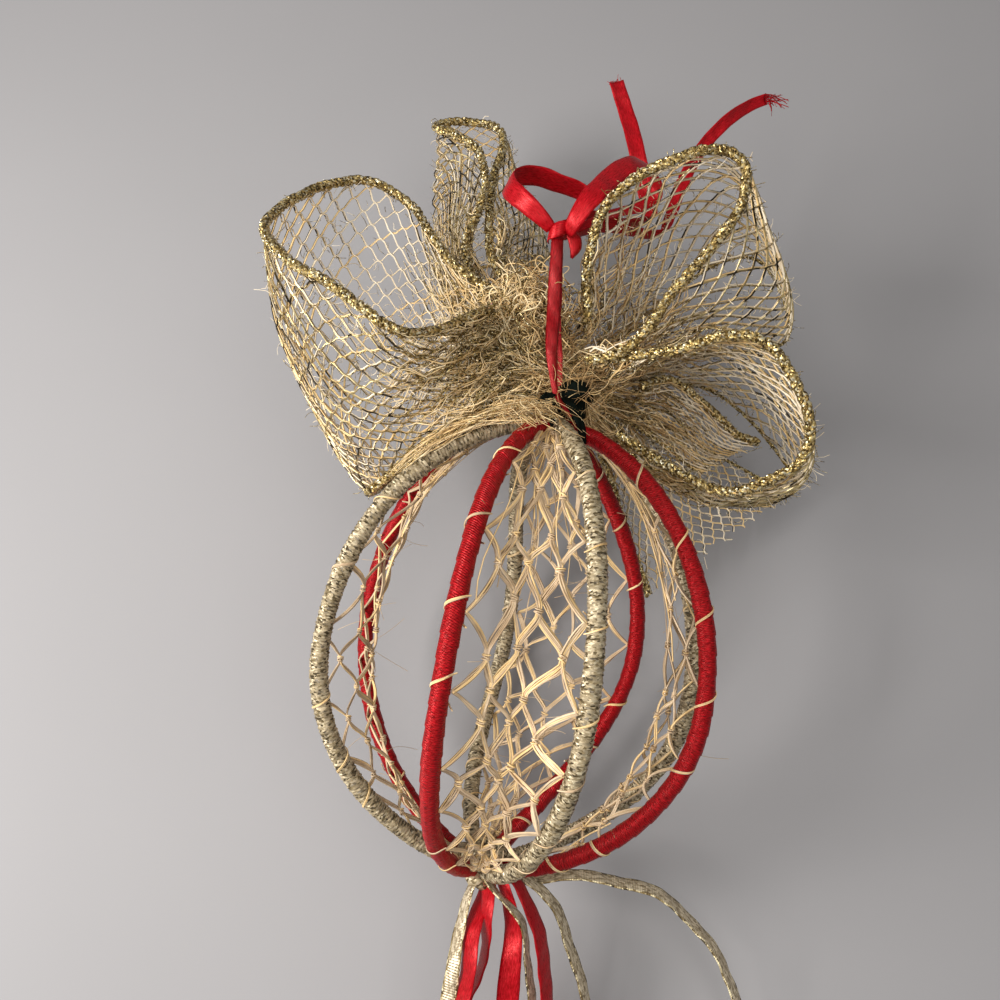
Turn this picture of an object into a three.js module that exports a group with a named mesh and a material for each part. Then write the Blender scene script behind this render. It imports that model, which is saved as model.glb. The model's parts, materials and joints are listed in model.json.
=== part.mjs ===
// Hanging globe ornament: ribbon-wrapped wire ribs in red and gold with a fibre net between them,
// a bow of open mesh ribbon on the crown, a satin hanging ribbon and a tassel of ribbon ends.
// Millimetres, +Z up. The origin is just under the knot of the hanging ribbon, where a hook holds
// the ornament, and the front of the ornament faces -Y.

import * as THREE from 'three';

// Driving dimensions of the globe
const GLOBE_RADIUS = 50;
const CROWN_HEIGHT = 62.4; // from the globe's widest circle up to the crown
const FOOT_DEPTH = 55.4; // from the widest circle down to the foot
const CROWN_FULLNESS = 1.08; // 1 is an ellipse, more draws the ribs in towards the crown
const FOOT_FULLNESS = 1.3;
const GLOBE_CENTRE = [-4.65, 5.2, -109.2];
const GLOBE_LEAN = THREE.MathUtils.degToRad(5.8); // the crown leans towards +X
const GLOBE_TIP = THREE.MathUtils.degToRad(4.1); // and a little to the front
const RIB_THICKNESS = 4.5;
const RIB_END_RADIUS = 7.0; // where the ribs meet the bindings
const RIB_STEPS = 20;
const RIB_SIDES = 8;

// The eight ribs as they go round, at the angle each was bent to, turned from the front towards +X
const RIBS = [
  { name: 'gold_rib_front', turn: 18, reach: 1.0, red: false },
  { name: 'red_rib_right', turn: 64, reach: 1.015, red: true },
  { name: 'gold_rib_right', turn: 84, reach: 0.92, red: false },
  { name: 'red_rib_back_right', turn: 134, reach: 1.0, red: true },
  { name: 'gold_rib_back', turn: 182, reach: 1.0, red: false },
  { name: 'red_rib_back_left', turn: 236, reach: 1.035, red: true },
  { name: 'gold_rib_left', turn: 288, reach: 1.015, red: false },
  { name: 'red_rib_front_left', turn: 341, reach: 1.01, red: true },
];
const FIRST_BOUND_TURN = 18; // at the bindings the ribs are spread evenly from this angle
const BOUND_STEP = 360 / RIBS.length;

// Bindings that hold the ribs together
const BINDING_RADIUS = 6.0;
const BINDING_HALF_HEIGHT = 3.2;
const FOOT_NECK_RADIUS = 4.6;
const FOOT_NECK_LENGTH = 1.6;
const ROUND_SIDES = 16;

// Fibre net panels, each between a gold rib and the red rib beside it
const NET_PAIRS = [[7, 0], [1, 2], [3, 4], [5, 6]];
const NET_THICKNESS = 1.2;
const NET_EDGE_GAP = 3.4; // from a rib's centre line to the middle of the panel's edge
const NET_BELLY = 9; // how far the middle of a panel is drawn in towards the globe's axis
const NET_FIRST_ANGLE = THREE.MathUtils.degToRad(26);
const NET_LAST_ANGLE = THREE.MathUtils.degToRad(152);

// Mesh ribbon of the bow
const MESH_THICKNESS = 1.2;
const MESH_STEPS_BETWEEN_POINTS = 2;
const MESH_STEPS_ACROSS = 3;

// Fluff of fibre at the bow's centre
const TUFT_CENTRE = [-3.4, 14, -23.5];
const TUFT_RADII = [8, 7.5, 14];

// Satin ribbons, drawn here as round tubes
const KNOT_CENTRE = [0, 0, 2.9];
const KNOT_RADIUS = 2.5;
const HANGER_TUBE_RADIUS = 1.0;
const TASSEL_TUBE_RADIUS = 0.9;
const TUBE_SIDES = 8;

const satin = () => new THREE.MeshStandardMaterial({ color: 0xb5121f, roughness: 0.4, metalness: 0 });
const braid = () => new THREE.MeshStandardMaterial({ color: 0xb9a272, roughness: 0.4, metalness: 0.5 });
const fibre = () => new THREE.MeshStandardMaterial({ color: 0xcdb489, roughness: 0.8, metalness: 0 });
const goldMesh = () => new THREE.MeshStandardMaterial({ color: 0xb59a5e, roughness: 0.5, metalness: 0.3 });
const tape = () => new THREE.MeshStandardMaterial({ color: 0x14231c, roughness: 0.7, metalness: 0 });

function toPoints(list) {
  return list.map(([x, y, z]) => new THREE.Vector3(x, y, z));
}

// A rib's radius and height at an angle measured down from the crown
function ribProfile(angle, reach) {
  const sine = Math.max(Math.sin(angle), 1e-6);
  const above = Math.cos(angle) > 0;
  const radius = GLOBE_RADIUS * reach * sine ** (above ? CROWN_FULLNESS : FOOT_FULLNESS);
  const height = Math.cos(angle) * (above ? CROWN_HEIGHT : FOOT_DEPTH);
  return { radius, height };
}

// A rib leaves the bindings evenly spaced and swings to its own angle at the globe's belly
function ribTurn(index, angle) {
  const bound = FIRST_BOUND_TURN + index * BOUND_STEP;
  const turn = bound + (RIBS[index].turn - bound) * Math.sin(angle) ** 2;
  return THREE.MathUtils.degToRad(turn);
}

function aroundAxis(radius, turn, height) {
  return new THREE.Vector3(radius * Math.sin(turn), -radius * Math.cos(turn), height);
}

function ribPoint(index, angle) {
  const { radius, height } = ribProfile(angle, RIBS[index].reach);
  return aroundAxis(radius, ribTurn(index, angle), height);
}

// The angle from the crown, or from the foot, at which a rib is RIB_END_RADIUS from the axis
function endAngle(reach, fullness) {
  return Math.asin((RIB_END_RADIUS / (GLOBE_RADIUS * reach)) ** (1 / fullness));
}

class RibCurve extends THREE.Curve {
  constructor(index) {
    super();
    this.index = index;
    this.first = endAngle(RIBS[index].reach, CROWN_FULLNESS);
    this.last = Math.PI - endAngle(RIBS[index].reach, FOOT_FULLNESS);
  }

  getPoint(t) {
    return ribPoint(this.index, this.first + (this.last - this.first) * t);
  }
}

function roundSection(radius, sides) {
  const corners = [];
  for (let i = 0; i < sides; i += 1) {
    const a = (2 * Math.PI * i) / sides;
    corners.push(new THREE.Vector2(radius * Math.cos(a), radius * Math.sin(a)));
  }
  return new THREE.Shape(corners);
}

function tube(curve, radius, sides, steps) {
  return new THREE.ExtrudeGeometry(roundSection(radius, sides), { steps, extrudePath: curve });
}

function named(name, geometry, material) {
  const mesh = new THREE.Mesh(geometry, material);
  mesh.name = name;
  return mesh;
}

function makeRib(index) {
  const { name, red } = RIBS[index];
  const geometry = tube(new RibCurve(index), RIB_THICKNESS / 2, RIB_SIDES, RIB_STEPS);
  return named(name, geometry, red ? satin() : braid());
}

// Height of the ribs' ends above or below the globe's widest circle
function boundHeight(fullness, height) {
  return Math.cos(endAngle(1, fullness)) * height;
}

function makeCrownBinding() {
  const middle = boundHeight(CROWN_FULLNESS, CROWN_HEIGHT);
  const profile = [
    new THREE.Vector2(0, middle - BINDING_HALF_HEIGHT),
    new THREE.Vector2(BINDING_RADIUS, middle - BINDING_HALF_HEIGHT),
    new THREE.Vector2(BINDING_RADIUS, middle + BINDING_HALF_HEIGHT),
    new THREE.Vector2(0, middle + BINDING_HALF_HEIGHT),
  ];
  const mesh = named('crown_binding', new THREE.LatheGeometry(profile, ROUND_SIDES), tape());
  mesh.geometry.rotateX(Math.PI / 2);
  return mesh;
}

function makeFootKnot() {
  const middle = -boundHeight(FOOT_FULLNESS, FOOT_DEPTH);
  const under = middle - BINDING_HALF_HEIGHT;
  const profile = [
    new THREE.Vector2(0, under - FOOT_NECK_LENGTH),
    new THREE.Vector2(FOOT_NECK_RADIUS, under - FOOT_NECK_LENGTH),
    new THREE.Vector2(BINDING_RADIUS, under),
    new THREE.Vector2(BINDING_RADIUS, middle + BINDING_HALF_HEIGHT),
    new THREE.Vector2(0, middle + BINDING_HALF_HEIGHT),
  ];
  const mesh = named('foot_knot', new THREE.LatheGeometry(profile, ROUND_SIDES), braid());
  mesh.geometry.rotateX(Math.PI / 2);
  return mesh;
}

// A point of a net panel: across runs 0 to 1 from one rib to the next, outward is along the radius
function netPoint(pair, across, angle, outward) {
  const edges = pair.map((index, side) => {
    const { radius, height } = ribProfile(angle, RIBS[index].reach);
    const inset = (side === 0 ? 1 : -1) * (NET_EDGE_GAP / radius);
    return aroundAxis(radius, ribTurn(index, angle) + inset, height);
  });
  const point = edges[0].lerp(edges[1], across);
  const flatRadius = Math.hypot(point.x, point.y);
  const belly = NET_BELLY * Math.sin(angle) * 4 * across * (1 - across);
  const scale = (flatRadius - belly + outward) / flatRadius;
  return new THREE.Vector3(point.x * scale, point.y * scale, point.z);
}

// A flat plate whose corners are all carried to new places by a function of its own unit axes
function shapedPlate(stepsAlong, stepsAcross, place) {
  const geometry = new THREE.BoxGeometry(1, 1, 1, stepsAlong, stepsAcross, 1);
  const corner = geometry.attributes.position;
  for (let i = 0; i < corner.count; i += 1) {
    const point = place(corner.getX(i) + 0.5, corner.getY(i) + 0.5, corner.getZ(i));
    corner.setXYZ(i, point.x, point.y, point.z);
  }
  return geometry;
}

function makeNetPanel(pair, number) {
  const geometry = shapedPlate(4, 12, (across, up, through) => {
    const angle = NET_LAST_ANGLE + (NET_FIRST_ANGLE - NET_LAST_ANGLE) * up;
    return netPoint(pair, across, angle, through * NET_THICKNESS);
  });
  return named(`net_panel_${number}`, geometry, fibre());
}

function makeGlobe() {
  const globe = new THREE.Group();
  globe.position.set(...GLOBE_CENTRE);
  globe.rotation.set(GLOBE_TIP, GLOBE_LEAN, 0, 'YXZ');
  RIBS.forEach((rib, index) => globe.add(makeRib(index)));
  NET_PAIRS.forEach((pair, i) => globe.add(makeNetPanel(pair, i + 1)));
  globe.add(makeCrownBinding(), makeFootKnot());
  return globe;
}

// The bow's loops and tails: each is a stretch of ribbon given by its open edge, its middle and its
// other edge, all three with the same number of points, from the gathers round and back again
const BOW = {
  bow_loop_left: {
    edge: [[-16.5, 16, -12.5], [-28, 24, -0.5], [-41, 31, 15.5], [-54.5, 30, 21.5], [-67.5, 20, 15],
      [-74, -2, 0], [-64.5, -16, -12.5], [-52, -24, -20.5], [-39, -26, -29], [-29, -18, -28.5],
      [-17, 2, -18]],
    middle: [[-13.5, 22, -26], [-27, 34, -23.5], [-41.5, 40, -19], [-57.5, 38, -18.5],
      [-67.5, 26, -25], [-67, 10, -37.5], [-57.5, -2, -45], [-47.5, -10, -46], [-36.5, -12, -44.5],
      [-25, -8, -39.5], [-13, 4, -31]],
    other: [[-9, 24, -38], [-21, 36, -46], [-34, 42, -55.5], [-42, 40, -62.5], [-46.5, 32, -66.5],
      [-47, 22, -67], [-43, 14, -64.5], [-36.5, 10, -60], [-29.5, 7, -55.5], [-18, 3, -49.5],
      [-8.5, 2, -43]],
  },
  bow_loop_back: {
    edge: [[-19, 28, -7], [-24, 34, 9.5], [-20.5, 42, 26], [-23.5, 50, 39], [-31.5, 56, 46],
      [-37.5, 62, 50], [-30, 68, 54.5], [-21, 66, 53], [-16.5, 58, 44], [-18.5, 46, 26],
      [-17.5, 36, 8], [-15, 28, -5]],
    middle: [[-17, 34, -11], [-26, 44, 1.5], [-29.5, 52, 19.5], [-33, 62, 30], [-36, 68, 33.5],
      [-37.5, 74, 33.5], [-27, 80, 37.5], [-13, 78, 39.5], [-8.5, 68, 33], [-9.5, 54, 18],
      [-12.5, 40, 3], [-11.5, 32, -11.5]],
    other: [[-13.5, 38, -17.5], [-25.5, 50, -11.5], [-31, 62, -5], [-33.5, 72, 0], [-35, 78, 4.5],
      [-35.5, 84, 7.5], [-22, 90, 12.5], [-5, 86, 14.5], [0.5, 72, 13.5], [-2.5, 56, 5],
      [-6.5, 42, -7.5], [-8.5, 36, -19]],
  },
  bow_loop_right_upper: {
    edge: [[7, 10, -19], [8.5, 4, -8], [11, -4, 5], [19, -10, 15], [32.5, -14, 19.5],
      [43.5, -14, 16.5], [43.5, -14, 6.5], [36.5, -12, -4.5], [28, -8, -15], [19.5, -3, -25.5],
      [9, 2, -30.5]],
    middle: [[11.5, 20, -22], [16.5, 22, -11.5], [24.5, 24, 3], [37.5, 24, 18], [51.5, 24, 21.5],
      [60, 20, 8.5], [62, 14, -6.5], [51.5, 10, -13.5], [39.5, 8, -18.5], [28, 8, -24.5],
      [13.5, 8, -29.5]],
    other: [[16.5, 28, -23.5], [27.5, 38, -14], [37.5, 46, -3.5], [50.5, 54, 9], [65.5, 58, 11.5],
      [74, 50, -4.5], [72, 42, -15], [63.5, 34, -19.5], [49.5, 26, -21.5], [35, 20, -25],
      [17.5, 16, -29]],
  },
  bow_loop_right_lower: {
    edge: [[15, 6, -32], [23.5, -4, -28.5], [34.5, -12, -25.5], [44.5, -18, -25.5], [54, -22, -32],
      [61, -22, -46], [59.5, -18, -55.5], [48.5, -12, -61], [39, -6, -60], [28.5, 0, -55.5],
      [17.5, 5, -50]],
    middle: [[15.5, 14, -32.5], [26.5, 16, -29], [39.5, 18, -25.5], [52, 18, -26], [63.5, 16, -34],
      [71.5, 14, -49], [68.5, 10, -59], [55.5, 10, -64], [43.5, 10, -63], [30, 10, -57],
      [18, 12, -50.5]],
    other: [[16.5, 24, -33], [28, 36, -29.5], [43, 46, -29.5], [55.5, 52, -32.5], [66, 54, -39],
      [77.5, 50, -53.5], [75, 40, -60.5], [61.5, 34, -64], [47.5, 28, -63.5], [32, 22, -57.5],
      [18.5, 20, -50]],
  },
  bow_tail_low: {
    edge: [[13, 26, -38.5], [18, 34, -51.5], [24, 42, -67], [30, 48, -80.5], [37.5, 54, -95]],
    middle: [[16, 30, -37], [27, 40, -47.5], [40.5, 50, -60], [50, 55, -70.5], [60, 58, -78]],
    other: [[20, 34, -35], [36.5, 48, -42], [56, 58, -49.5], [71.5, 62, -56], [83, 62, -60.5]],
  },
  bow_tail_inner: {
    edge: [[26.5, 24, -33], [36, 28, -31.5], [45.5, 32, -36], [56.5, 36, -44], [64.5, 38, -46.5]],
    middle: [[25, 27, -37.5], [33, 31, -38.5], [42, 35, -43.5], [50.5, 38, -50], [57, 40, -52]],
    other: [[23.5, 30, -42.5], [30, 34, -45.5], [38.5, 38, -50], [45, 40, -54.5], [49.5, 42, -55.5]],
  },
};

// A ribbon's surface: a curve through the three rails at the same place along each of them
class RibbonSurface {
  constructor({ edge, middle, other }) {
    this.rails = [edge, middle, other].map((rail) => new THREE.CatmullRomCurve3(toPoints(rail)));
  }

  at(along, across) {
    const [a, m, b] = this.rails.map((rail) => rail.getPoint(THREE.MathUtils.clamp(along, 0, 1)));
    return new THREE.Vector3()
      .addScaledVector(a, (1 - across) * (1 - 2 * across))
      .addScaledVector(m, 4 * across * (1 - across))
      .addScaledVector(b, across * (2 * across - 1));
  }

  normal(along, across) {
    const step = 0.01;
    const ahead = this.at(Math.min(along + step, 1), across).sub(this.at(Math.max(along - step, 0), across));
    const over = this.at(along, Math.min(across + step, 1)).sub(this.at(along, Math.max(across - step, 0)));
    return ahead.cross(over).normalize();
  }
}

function makeMeshRibbon(name) {
  const surface = new RibbonSurface(BOW[name]);
  const stepsAlong = MESH_STEPS_BETWEEN_POINTS * (BOW[name].edge.length - 1);
  const geometry = shapedPlate(stepsAlong, MESH_STEPS_ACROSS, (along, across, through) => {
    const shift = surface.normal(along, across).multiplyScalar(through * MESH_THICKNESS);
    return surface.at(along, across).add(shift);
  });
  return named(name, geometry, goldMesh());
}

function makeTuft() {
  const geometry = new THREE.SphereGeometry(1, 14, 10);
  geometry.scale(...TUFT_RADII);
  geometry.translate(...TUFT_CENTRE);
  return named('bow_tuft', geometry, fibre());
}

// Routes of the satin hanging ribbon: two strands from the crown to the knot, then loops and tails
const HANGER_ROUTES = {
  hanger_strand_front: [[1.9, -1.5, -43.2], [2.1, -1.6, -38], [1.4, -1.6, -27], [0.8, -1.6, -16],
    [0.2, -1.5, -6], [0, -1.4, -0.4]],
  hanger_strand_rear: [[2.1, 1.7, -43.4], [2.3, 1.6, -38], [1.6, 1.5, -27], [0.9, 1.5, -16],
    [0.3, 1.5, -6], [0, 1.4, -0.4]],
  hanger_loop_left: [[-4, 0, 2.5], [-7.5, -2, 5.5], [-12, -3, 9], [-13.5, 0, 13.5], [-10.5, 4, 18],
    [-4.5, 8, 20], [2.5, 11, 18.5], [7.5, 12, 16], [6, 9, 11.5], [2.5, 6, 9]],
  hanger_loop_right: [[4.5, -1, 2], [8, -2, 4.5], [11, -2, 10], [14.5, 0, 16], [21, 6, 22],
    [27.5, 14, 21], [26, 20, 16.5], [17, 15, 13], [9.5, 10, 6.5], [4, 7, 3.5]],
  hanger_tail_left: [[1, 6, 5.5], [8, 14, 10.5], [18.5, 24, 12], [28, 32, 13.5], [27, 33, 22],
    [23.5, 34, 33], [19, 36, 48], [15, 38, 58]],
  hanger_tail_right: [[0, 7, 1.5], [8, 15, 4.5], [19.5, 24, 6], [30.5, 33, 8.5], [35, 36, 16.5],
    [38, 38, 28], [44, 41, 41], [53, 44, 52], [64, 48, 59.5]],
};

// Routes of the tassel's ribbon ends, from the foot knot down
const TASSEL_ROUTES = {
  tassel_gold_left: [[-12, 8, -169], [-15, 6, -174], [-17, 4, -182.5], [-18, 3, -191],
    [-19, 2, -197], [-19, 2, -212.5], [-18.5, 2, -230.5], [-17, 2, -251.5]],
  tassel_red_left_front: [[-10.5, 5, -169], [-9, 3, -175], [-11, 1, -186], [-13.5, 0, -196],
    [-15, -1, -211], [-15, -1, -226], [-14, -1, -241.5]],
  tassel_red_left_rear: [[-9.5, 12, -171], [-7, 12, -180], [-8, 12, -188], [-10.5, 11, -198.5],
    [-11.5, 10, -214], [-11.5, 10, -230], [-10.5, 10, -246]],
  tassel_red_middle: [[-7, 5, -168], [-2.5, 3, -175.5], [-1, 2, -183], [-1.5, 2, -196],
    [-2, 2, -211.5], [-1.5, 2, -230], [0, 2, -248]],
  tassel_gold_middle: [[-8, 9, -170], [-3.5, 9, -175], [0.5, 9, -181], [3, 10, -188],
    [4.5, 10, -200], [5.5, 10, -216], [5.5, 10, -234.5], [6, 10, -250.5]],
  tassel_red_right: [[-5.5, 9, -169.5], [1, 7, -173], [6, 6, -182], [8.5, 6, -190.5],
    [9, 6, -197.5], [8.5, 6, -213.5], [8.5, 6, -229], [9.5, 6, -245]],
  tassel_gold_right: [[-5, 13, -170.5], [3, 13, -171.5], [8.5, 14, -175], [12.5, 15, -181.5],
    [16, 15, -189.5], [20, 15, -201.5], [23, 15, -217.5], [25, 15, -236.5], [25.5, 15, -255.5]],
  tassel_gold_far: [[-4.5, 17, -171], [4.5, 18, -170.5], [14, 19, -169.5], [25.5, 20, -170.5],
    [37, 22, -173.5], [47.5, 24, -180.5], [55, 24, -188.5], [60, 24, -196.5], [63.5, 24, -203.5],
    [67.5, 22, -219], [68.5, 20, -231.5], [68, 19, -242]],
};

function makeRibbonTube(name, route, radius) {
  const curve = new THREE.CatmullRomCurve3(toPoints(route));
  const material = name.includes('gold') ? braid() : satin();
  return named(name, tube(curve, radius, TUBE_SIDES, 2 * route.length), material);
}

function makeHangerKnot() {
  const geometry = new THREE.SphereGeometry(KNOT_RADIUS, 12, 8);
  geometry.translate(...KNOT_CENTRE);
  return named('hanger_knot', geometry, satin());
}

const ornament = new THREE.Group();
ornament.add(makeGlobe());
Object.keys(BOW).forEach((name) => ornament.add(makeMeshRibbon(name)));
ornament.add(makeTuft(), makeHangerKnot());
Object.entries(HANGER_ROUTES).forEach(([name, route]) => {
  ornament.add(makeRibbonTube(name, route, HANGER_TUBE_RADIUS));
});
Object.entries(TASSEL_ROUTES).forEach(([name, route]) => {
  ornament.add(makeRibbonTube(name, route, TASSEL_TUBE_RADIUS));
});

export default ornament;
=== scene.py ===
# %% [markdown]
# A hanging globe ornament made of craft-shop materials: eight wires wrapped in red satin or gold
# braid, a knotted net of pale plant fibre, a bow of open mesh ribbon with glitter cord along its
# edges, a fluffy tuft, a satin hanging ribbon and a tassel of ribbon ends.
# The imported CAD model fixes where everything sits. This script gives each piece its real surface.

# %% Load the fixed frame
import json
import math
import random

import bmesh
import bpy
import numpy as np
from mathutils import Matrix, Vector

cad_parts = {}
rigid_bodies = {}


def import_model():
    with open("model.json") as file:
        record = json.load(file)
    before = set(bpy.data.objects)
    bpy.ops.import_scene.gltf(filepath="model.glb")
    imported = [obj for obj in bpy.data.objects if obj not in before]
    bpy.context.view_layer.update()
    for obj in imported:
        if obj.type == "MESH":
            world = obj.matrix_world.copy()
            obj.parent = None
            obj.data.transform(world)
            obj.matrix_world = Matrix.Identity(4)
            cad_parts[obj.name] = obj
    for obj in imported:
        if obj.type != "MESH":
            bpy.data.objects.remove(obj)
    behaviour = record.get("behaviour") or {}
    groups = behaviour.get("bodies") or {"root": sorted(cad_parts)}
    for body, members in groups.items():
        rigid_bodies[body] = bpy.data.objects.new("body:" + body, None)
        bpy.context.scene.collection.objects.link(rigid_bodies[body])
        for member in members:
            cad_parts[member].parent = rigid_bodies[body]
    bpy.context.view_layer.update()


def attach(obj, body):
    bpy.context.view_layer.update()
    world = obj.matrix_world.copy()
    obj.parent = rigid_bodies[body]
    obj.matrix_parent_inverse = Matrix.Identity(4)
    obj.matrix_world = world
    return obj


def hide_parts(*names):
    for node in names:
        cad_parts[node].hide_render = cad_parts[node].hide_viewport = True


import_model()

MM = 0.001
TURN = 2 * math.pi
dice = random.Random(24)

# %% [markdown]
# The camera stands a little over 25 cm in front of the ornament, level with the globe's upper half,
# and is rolled by three degrees. Its matrix is built from the three directions it must have,
# because that keeps the roll exact.

# %% Camera
CAMERA_PLACE = Vector((-10.8, -256, -67.5)) * MM
CAMERA_ROLL = math.radians(3.23)
SENSOR_MM = 36
LENS_MM = 36  # as long as the sensor is wide: the frame is as wide as the distance


def make_camera():
    data = bpy.data.cameras.new("camera")
    data.sensor_width = SENSOR_MM
    data.lens = LENS_MM
    right = Vector((math.cos(CAMERA_ROLL), 0, math.sin(CAMERA_ROLL)))
    upward = Vector((-math.sin(CAMERA_ROLL), 0, math.cos(CAMERA_ROLL)))
    backward = Vector((0, -1, 0))
    camera = bpy.data.objects.new("camera", data)
    turn = Matrix((right, upward, backward)).transposed().to_4x4()
    camera.matrix_world = Matrix.Translation(CAMERA_PLACE) @ turn
    bpy.context.scene.collection.objects.link(camera)
    bpy.context.scene.camera = camera
    return camera


camera = make_camera()
print("camera", camera.name, "at", tuple(round(c, 3) for c in camera.location))

# %% [markdown]
# Nearly everything here follows a line in space: ribs, strands, ribbons and cords. Two small
# helpers make such lines: one gives places on a smooth curve through a few given points, the
# other spaces the places evenly, so that wraps and weaves keep their pitch along the whole length.

# %% Smooth lines
def smooth_places(points, at):
    """Places on a smooth curve through the points. at runs from 0 at the first to 1 at the last."""
    p = np.asarray(points, float)
    padded = np.vstack([2 * p[0] - p[1], p, 2 * p[-1] - p[-2]])
    t = np.clip(np.asarray(at, float), 0, 1) * (len(p) - 1)
    i = np.minimum(t.astype(int), len(p) - 2)
    u = (t - i).reshape(-1, 1)
    a, b, c, d = (padded[i + k] for k in range(4))
    return 0.5 * (2 * b + (c - a) * u + (2 * a - 5 * b + 4 * c - d) * u**2 + (3 * b - a - 3 * c + d) * u**3)


def run_of(places):
    """How far along the line each place is."""
    return np.concatenate([[0], np.cumsum(np.linalg.norm(np.diff(places, axis=0), axis=1))])


def even_line(points, step):
    """A smooth curve through the points, as places a step apart."""
    at = np.linspace(0, 1, 30 * len(points))
    run = run_of(smooth_places(points, at))
    wanted = np.linspace(0, run[-1], max(3, round(run[-1] / step) + 1))
    return smooth_places(points, np.interp(wanted, run, at))


def places_at(places, run, wanted):
    """Places on a fine line at the wanted distances along it, where run says how far each of its own
    places is."""
    return np.stack([np.interp(wanted, run, places[:, k]) for k in range(3)], 1)


def unit(v):
    return v / np.maximum(np.linalg.norm(v, axis=-1, keepdims=True), 1e-12)


def headings(line):
    return unit(np.gradient(line, axis=0))


def carried_sides(line):
    """Two directions square to the line, carried along it without twisting."""
    ahead = headings(line)
    start = np.cross(ahead[0], (0.3, 0.9, 0.2))
    sides = [start / np.linalg.norm(start)]
    for heading in ahead[1:]:
        side = sides[-1] - heading * sides[-1].dot(heading)
        sides.append(side / np.linalg.norm(side))
    sides = np.array(sides)
    return sides, np.cross(ahead, sides)


print("helpers for smooth lines are ready")

# %% [markdown]
# A ribbon or a wrapped wire starts as a flat grid. Its corners are carried to their places by a
# function of how far along and how far across they are. Left open it is a ribbon; rolled up until
# its long edges meet and are merged, it is a tube whose surface can carry the relief of a wrapping.
# The UV map is measured in centimetres, so a weave has the same scale on every piece.

# %% Grids that become ribbons and tubes
CENTIMETRE = 0.01


def into_object(bm, name, material):
    """Turns a finished bmesh into an object of one material."""
    mesh = bpy.data.meshes.new(name)
    bm.to_mesh(mesh)
    bm.free()
    mesh.materials.append(material)
    piece = bpy.data.objects.new(name, mesh)
    bpy.context.scene.collection.objects.link(piece)
    return piece


def keep(piece, stands_for=None):
    """Every piece rides on the one body. Some stand for a node of the CAD model."""
    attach(piece, "root")
    if stands_for:
        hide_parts(stands_for)


def shaped_grid(name, steps, place, size, material, rolled=False):
    """A grid of steps[0] by steps[1] cells, carried by place(along, across) with both in 0 to 1."""
    bm = bmesh.new()
    bm.loops.layers.uv.new("UVMap")
    bmesh.ops.create_grid(bm, x_segments=steps[0], y_segments=steps[1], size=0.5, calc_uvs=True)
    flat = np.array([v.co for v in bm.verts]) + 0.5
    for corner, spot in zip(bm.verts, place(flat[:, 0], flat[:, 1])):
        corner.co = spot
    uv = bm.loops.layers.uv.active
    for face in bm.faces:
        face.smooth = True
        for loop in face.loops:
            loop[uv].uv = (loop[uv].uv.x * size[0] / CENTIMETRE, loop[uv].uv.y * size[1] / CENTIMETRE)
    if rolled:
        bmesh.ops.remove_doubles(bm, verts=bm.verts, dist=1e-6)
        bmesh.ops.holes_fill(bm, edges=bm.edges)
        bmesh.ops.recalc_face_normals(bm, faces=bm.faces)
    return into_object(bm, name, material)


print("grid helper is ready")

# %% [markdown]
# Loose fibres and mesh strands are too many to model one by one. A Blender curve takes a whole
# bundle of lines, one spline each, sweeps a small polygon along them all, and is then turned into a
# mesh. Three sides are enough for a fibre a quarter of a millimetre thick.

# %% Bundles of strands
FIBRE_SIDES, CORD_SIDES = 3, 6


def section(sides):
    """The polygon that is swept along a bundle's lines, wound so that their faces look outward."""
    outline = bpy.data.curves.new("section", "CURVE")
    outline.dimensions = "2D"
    outline.fill_mode = "NONE"
    ring = outline.splines.new("POLY")
    ring.points.add(sides - 1)
    for k, corner in enumerate(ring.points):
        corner.co = (math.cos(TURN * k / sides), -math.sin(TURN * k / sides), 0, 1)
    ring.use_cyclic_u = True
    return bpy.data.objects.new("section", outline)


class Bundle:
    """Lines gathered one by one and then made into one mesh of thin strands."""

    def __init__(self):
        self.lines = []

    def add(self, line, radius, finish=0, taper=False):
        self.lines.append((np.asarray(line, float), radius, finish, taper))

    def build(self, name, materials, sides=FIBRE_SIDES):
        outline = section(sides)
        curve = bpy.data.curves.new(name, "CURVE")
        curve.dimensions = "3D"
        curve.bevel_mode = "OBJECT"
        curve.bevel_object = outline
        curve.use_fill_caps = True
        for material in materials:
            curve.materials.append(material)
        for line, radius, finish, taper in self.lines:
            spline = curve.splines.new("POLY")
            spline.points.add(len(line) - 1)
            places = np.hstack([line, np.ones((len(line), 1))])
            spline.points.foreach_set("co", places.ravel())
            thick = np.full(len(line), radius)
            if taper:
                thick *= 0.35 + 0.65 * np.sin(np.linspace(0.15, 1, len(line)) * math.pi * 0.9)
            spline.points.foreach_set("radius", thick)
            spline.material_index = finish
            spline.use_smooth = True
        wire = bpy.data.objects.new(name + "_lines", curve)
        bpy.context.scene.collection.objects.link(wire)
        shape = wire.evaluated_get(bpy.context.evaluated_depsgraph_get())
        mesh = bpy.data.meshes.new_from_object(shape)
        mesh.name = name
        bpy.data.batch_remove([wire, outline, curve, outline.data])
        piece = bpy.data.objects.new(name, mesh)
        bpy.context.scene.collection.objects.link(piece)
        print(name, "has", len(self.lines), "strands and", len(mesh.polygons), "faces")
        return piece


print("strand helper is ready")

# %% [markdown]
# Materials share one small toolbox: a new Principled material, a noise, a colour ramp and a bump.
# With a short method for each kind of node, a finish reads as a few lines instead of a page. Every
# finish reads Object coordinates, or the UV map where its pattern follows the piece.

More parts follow.
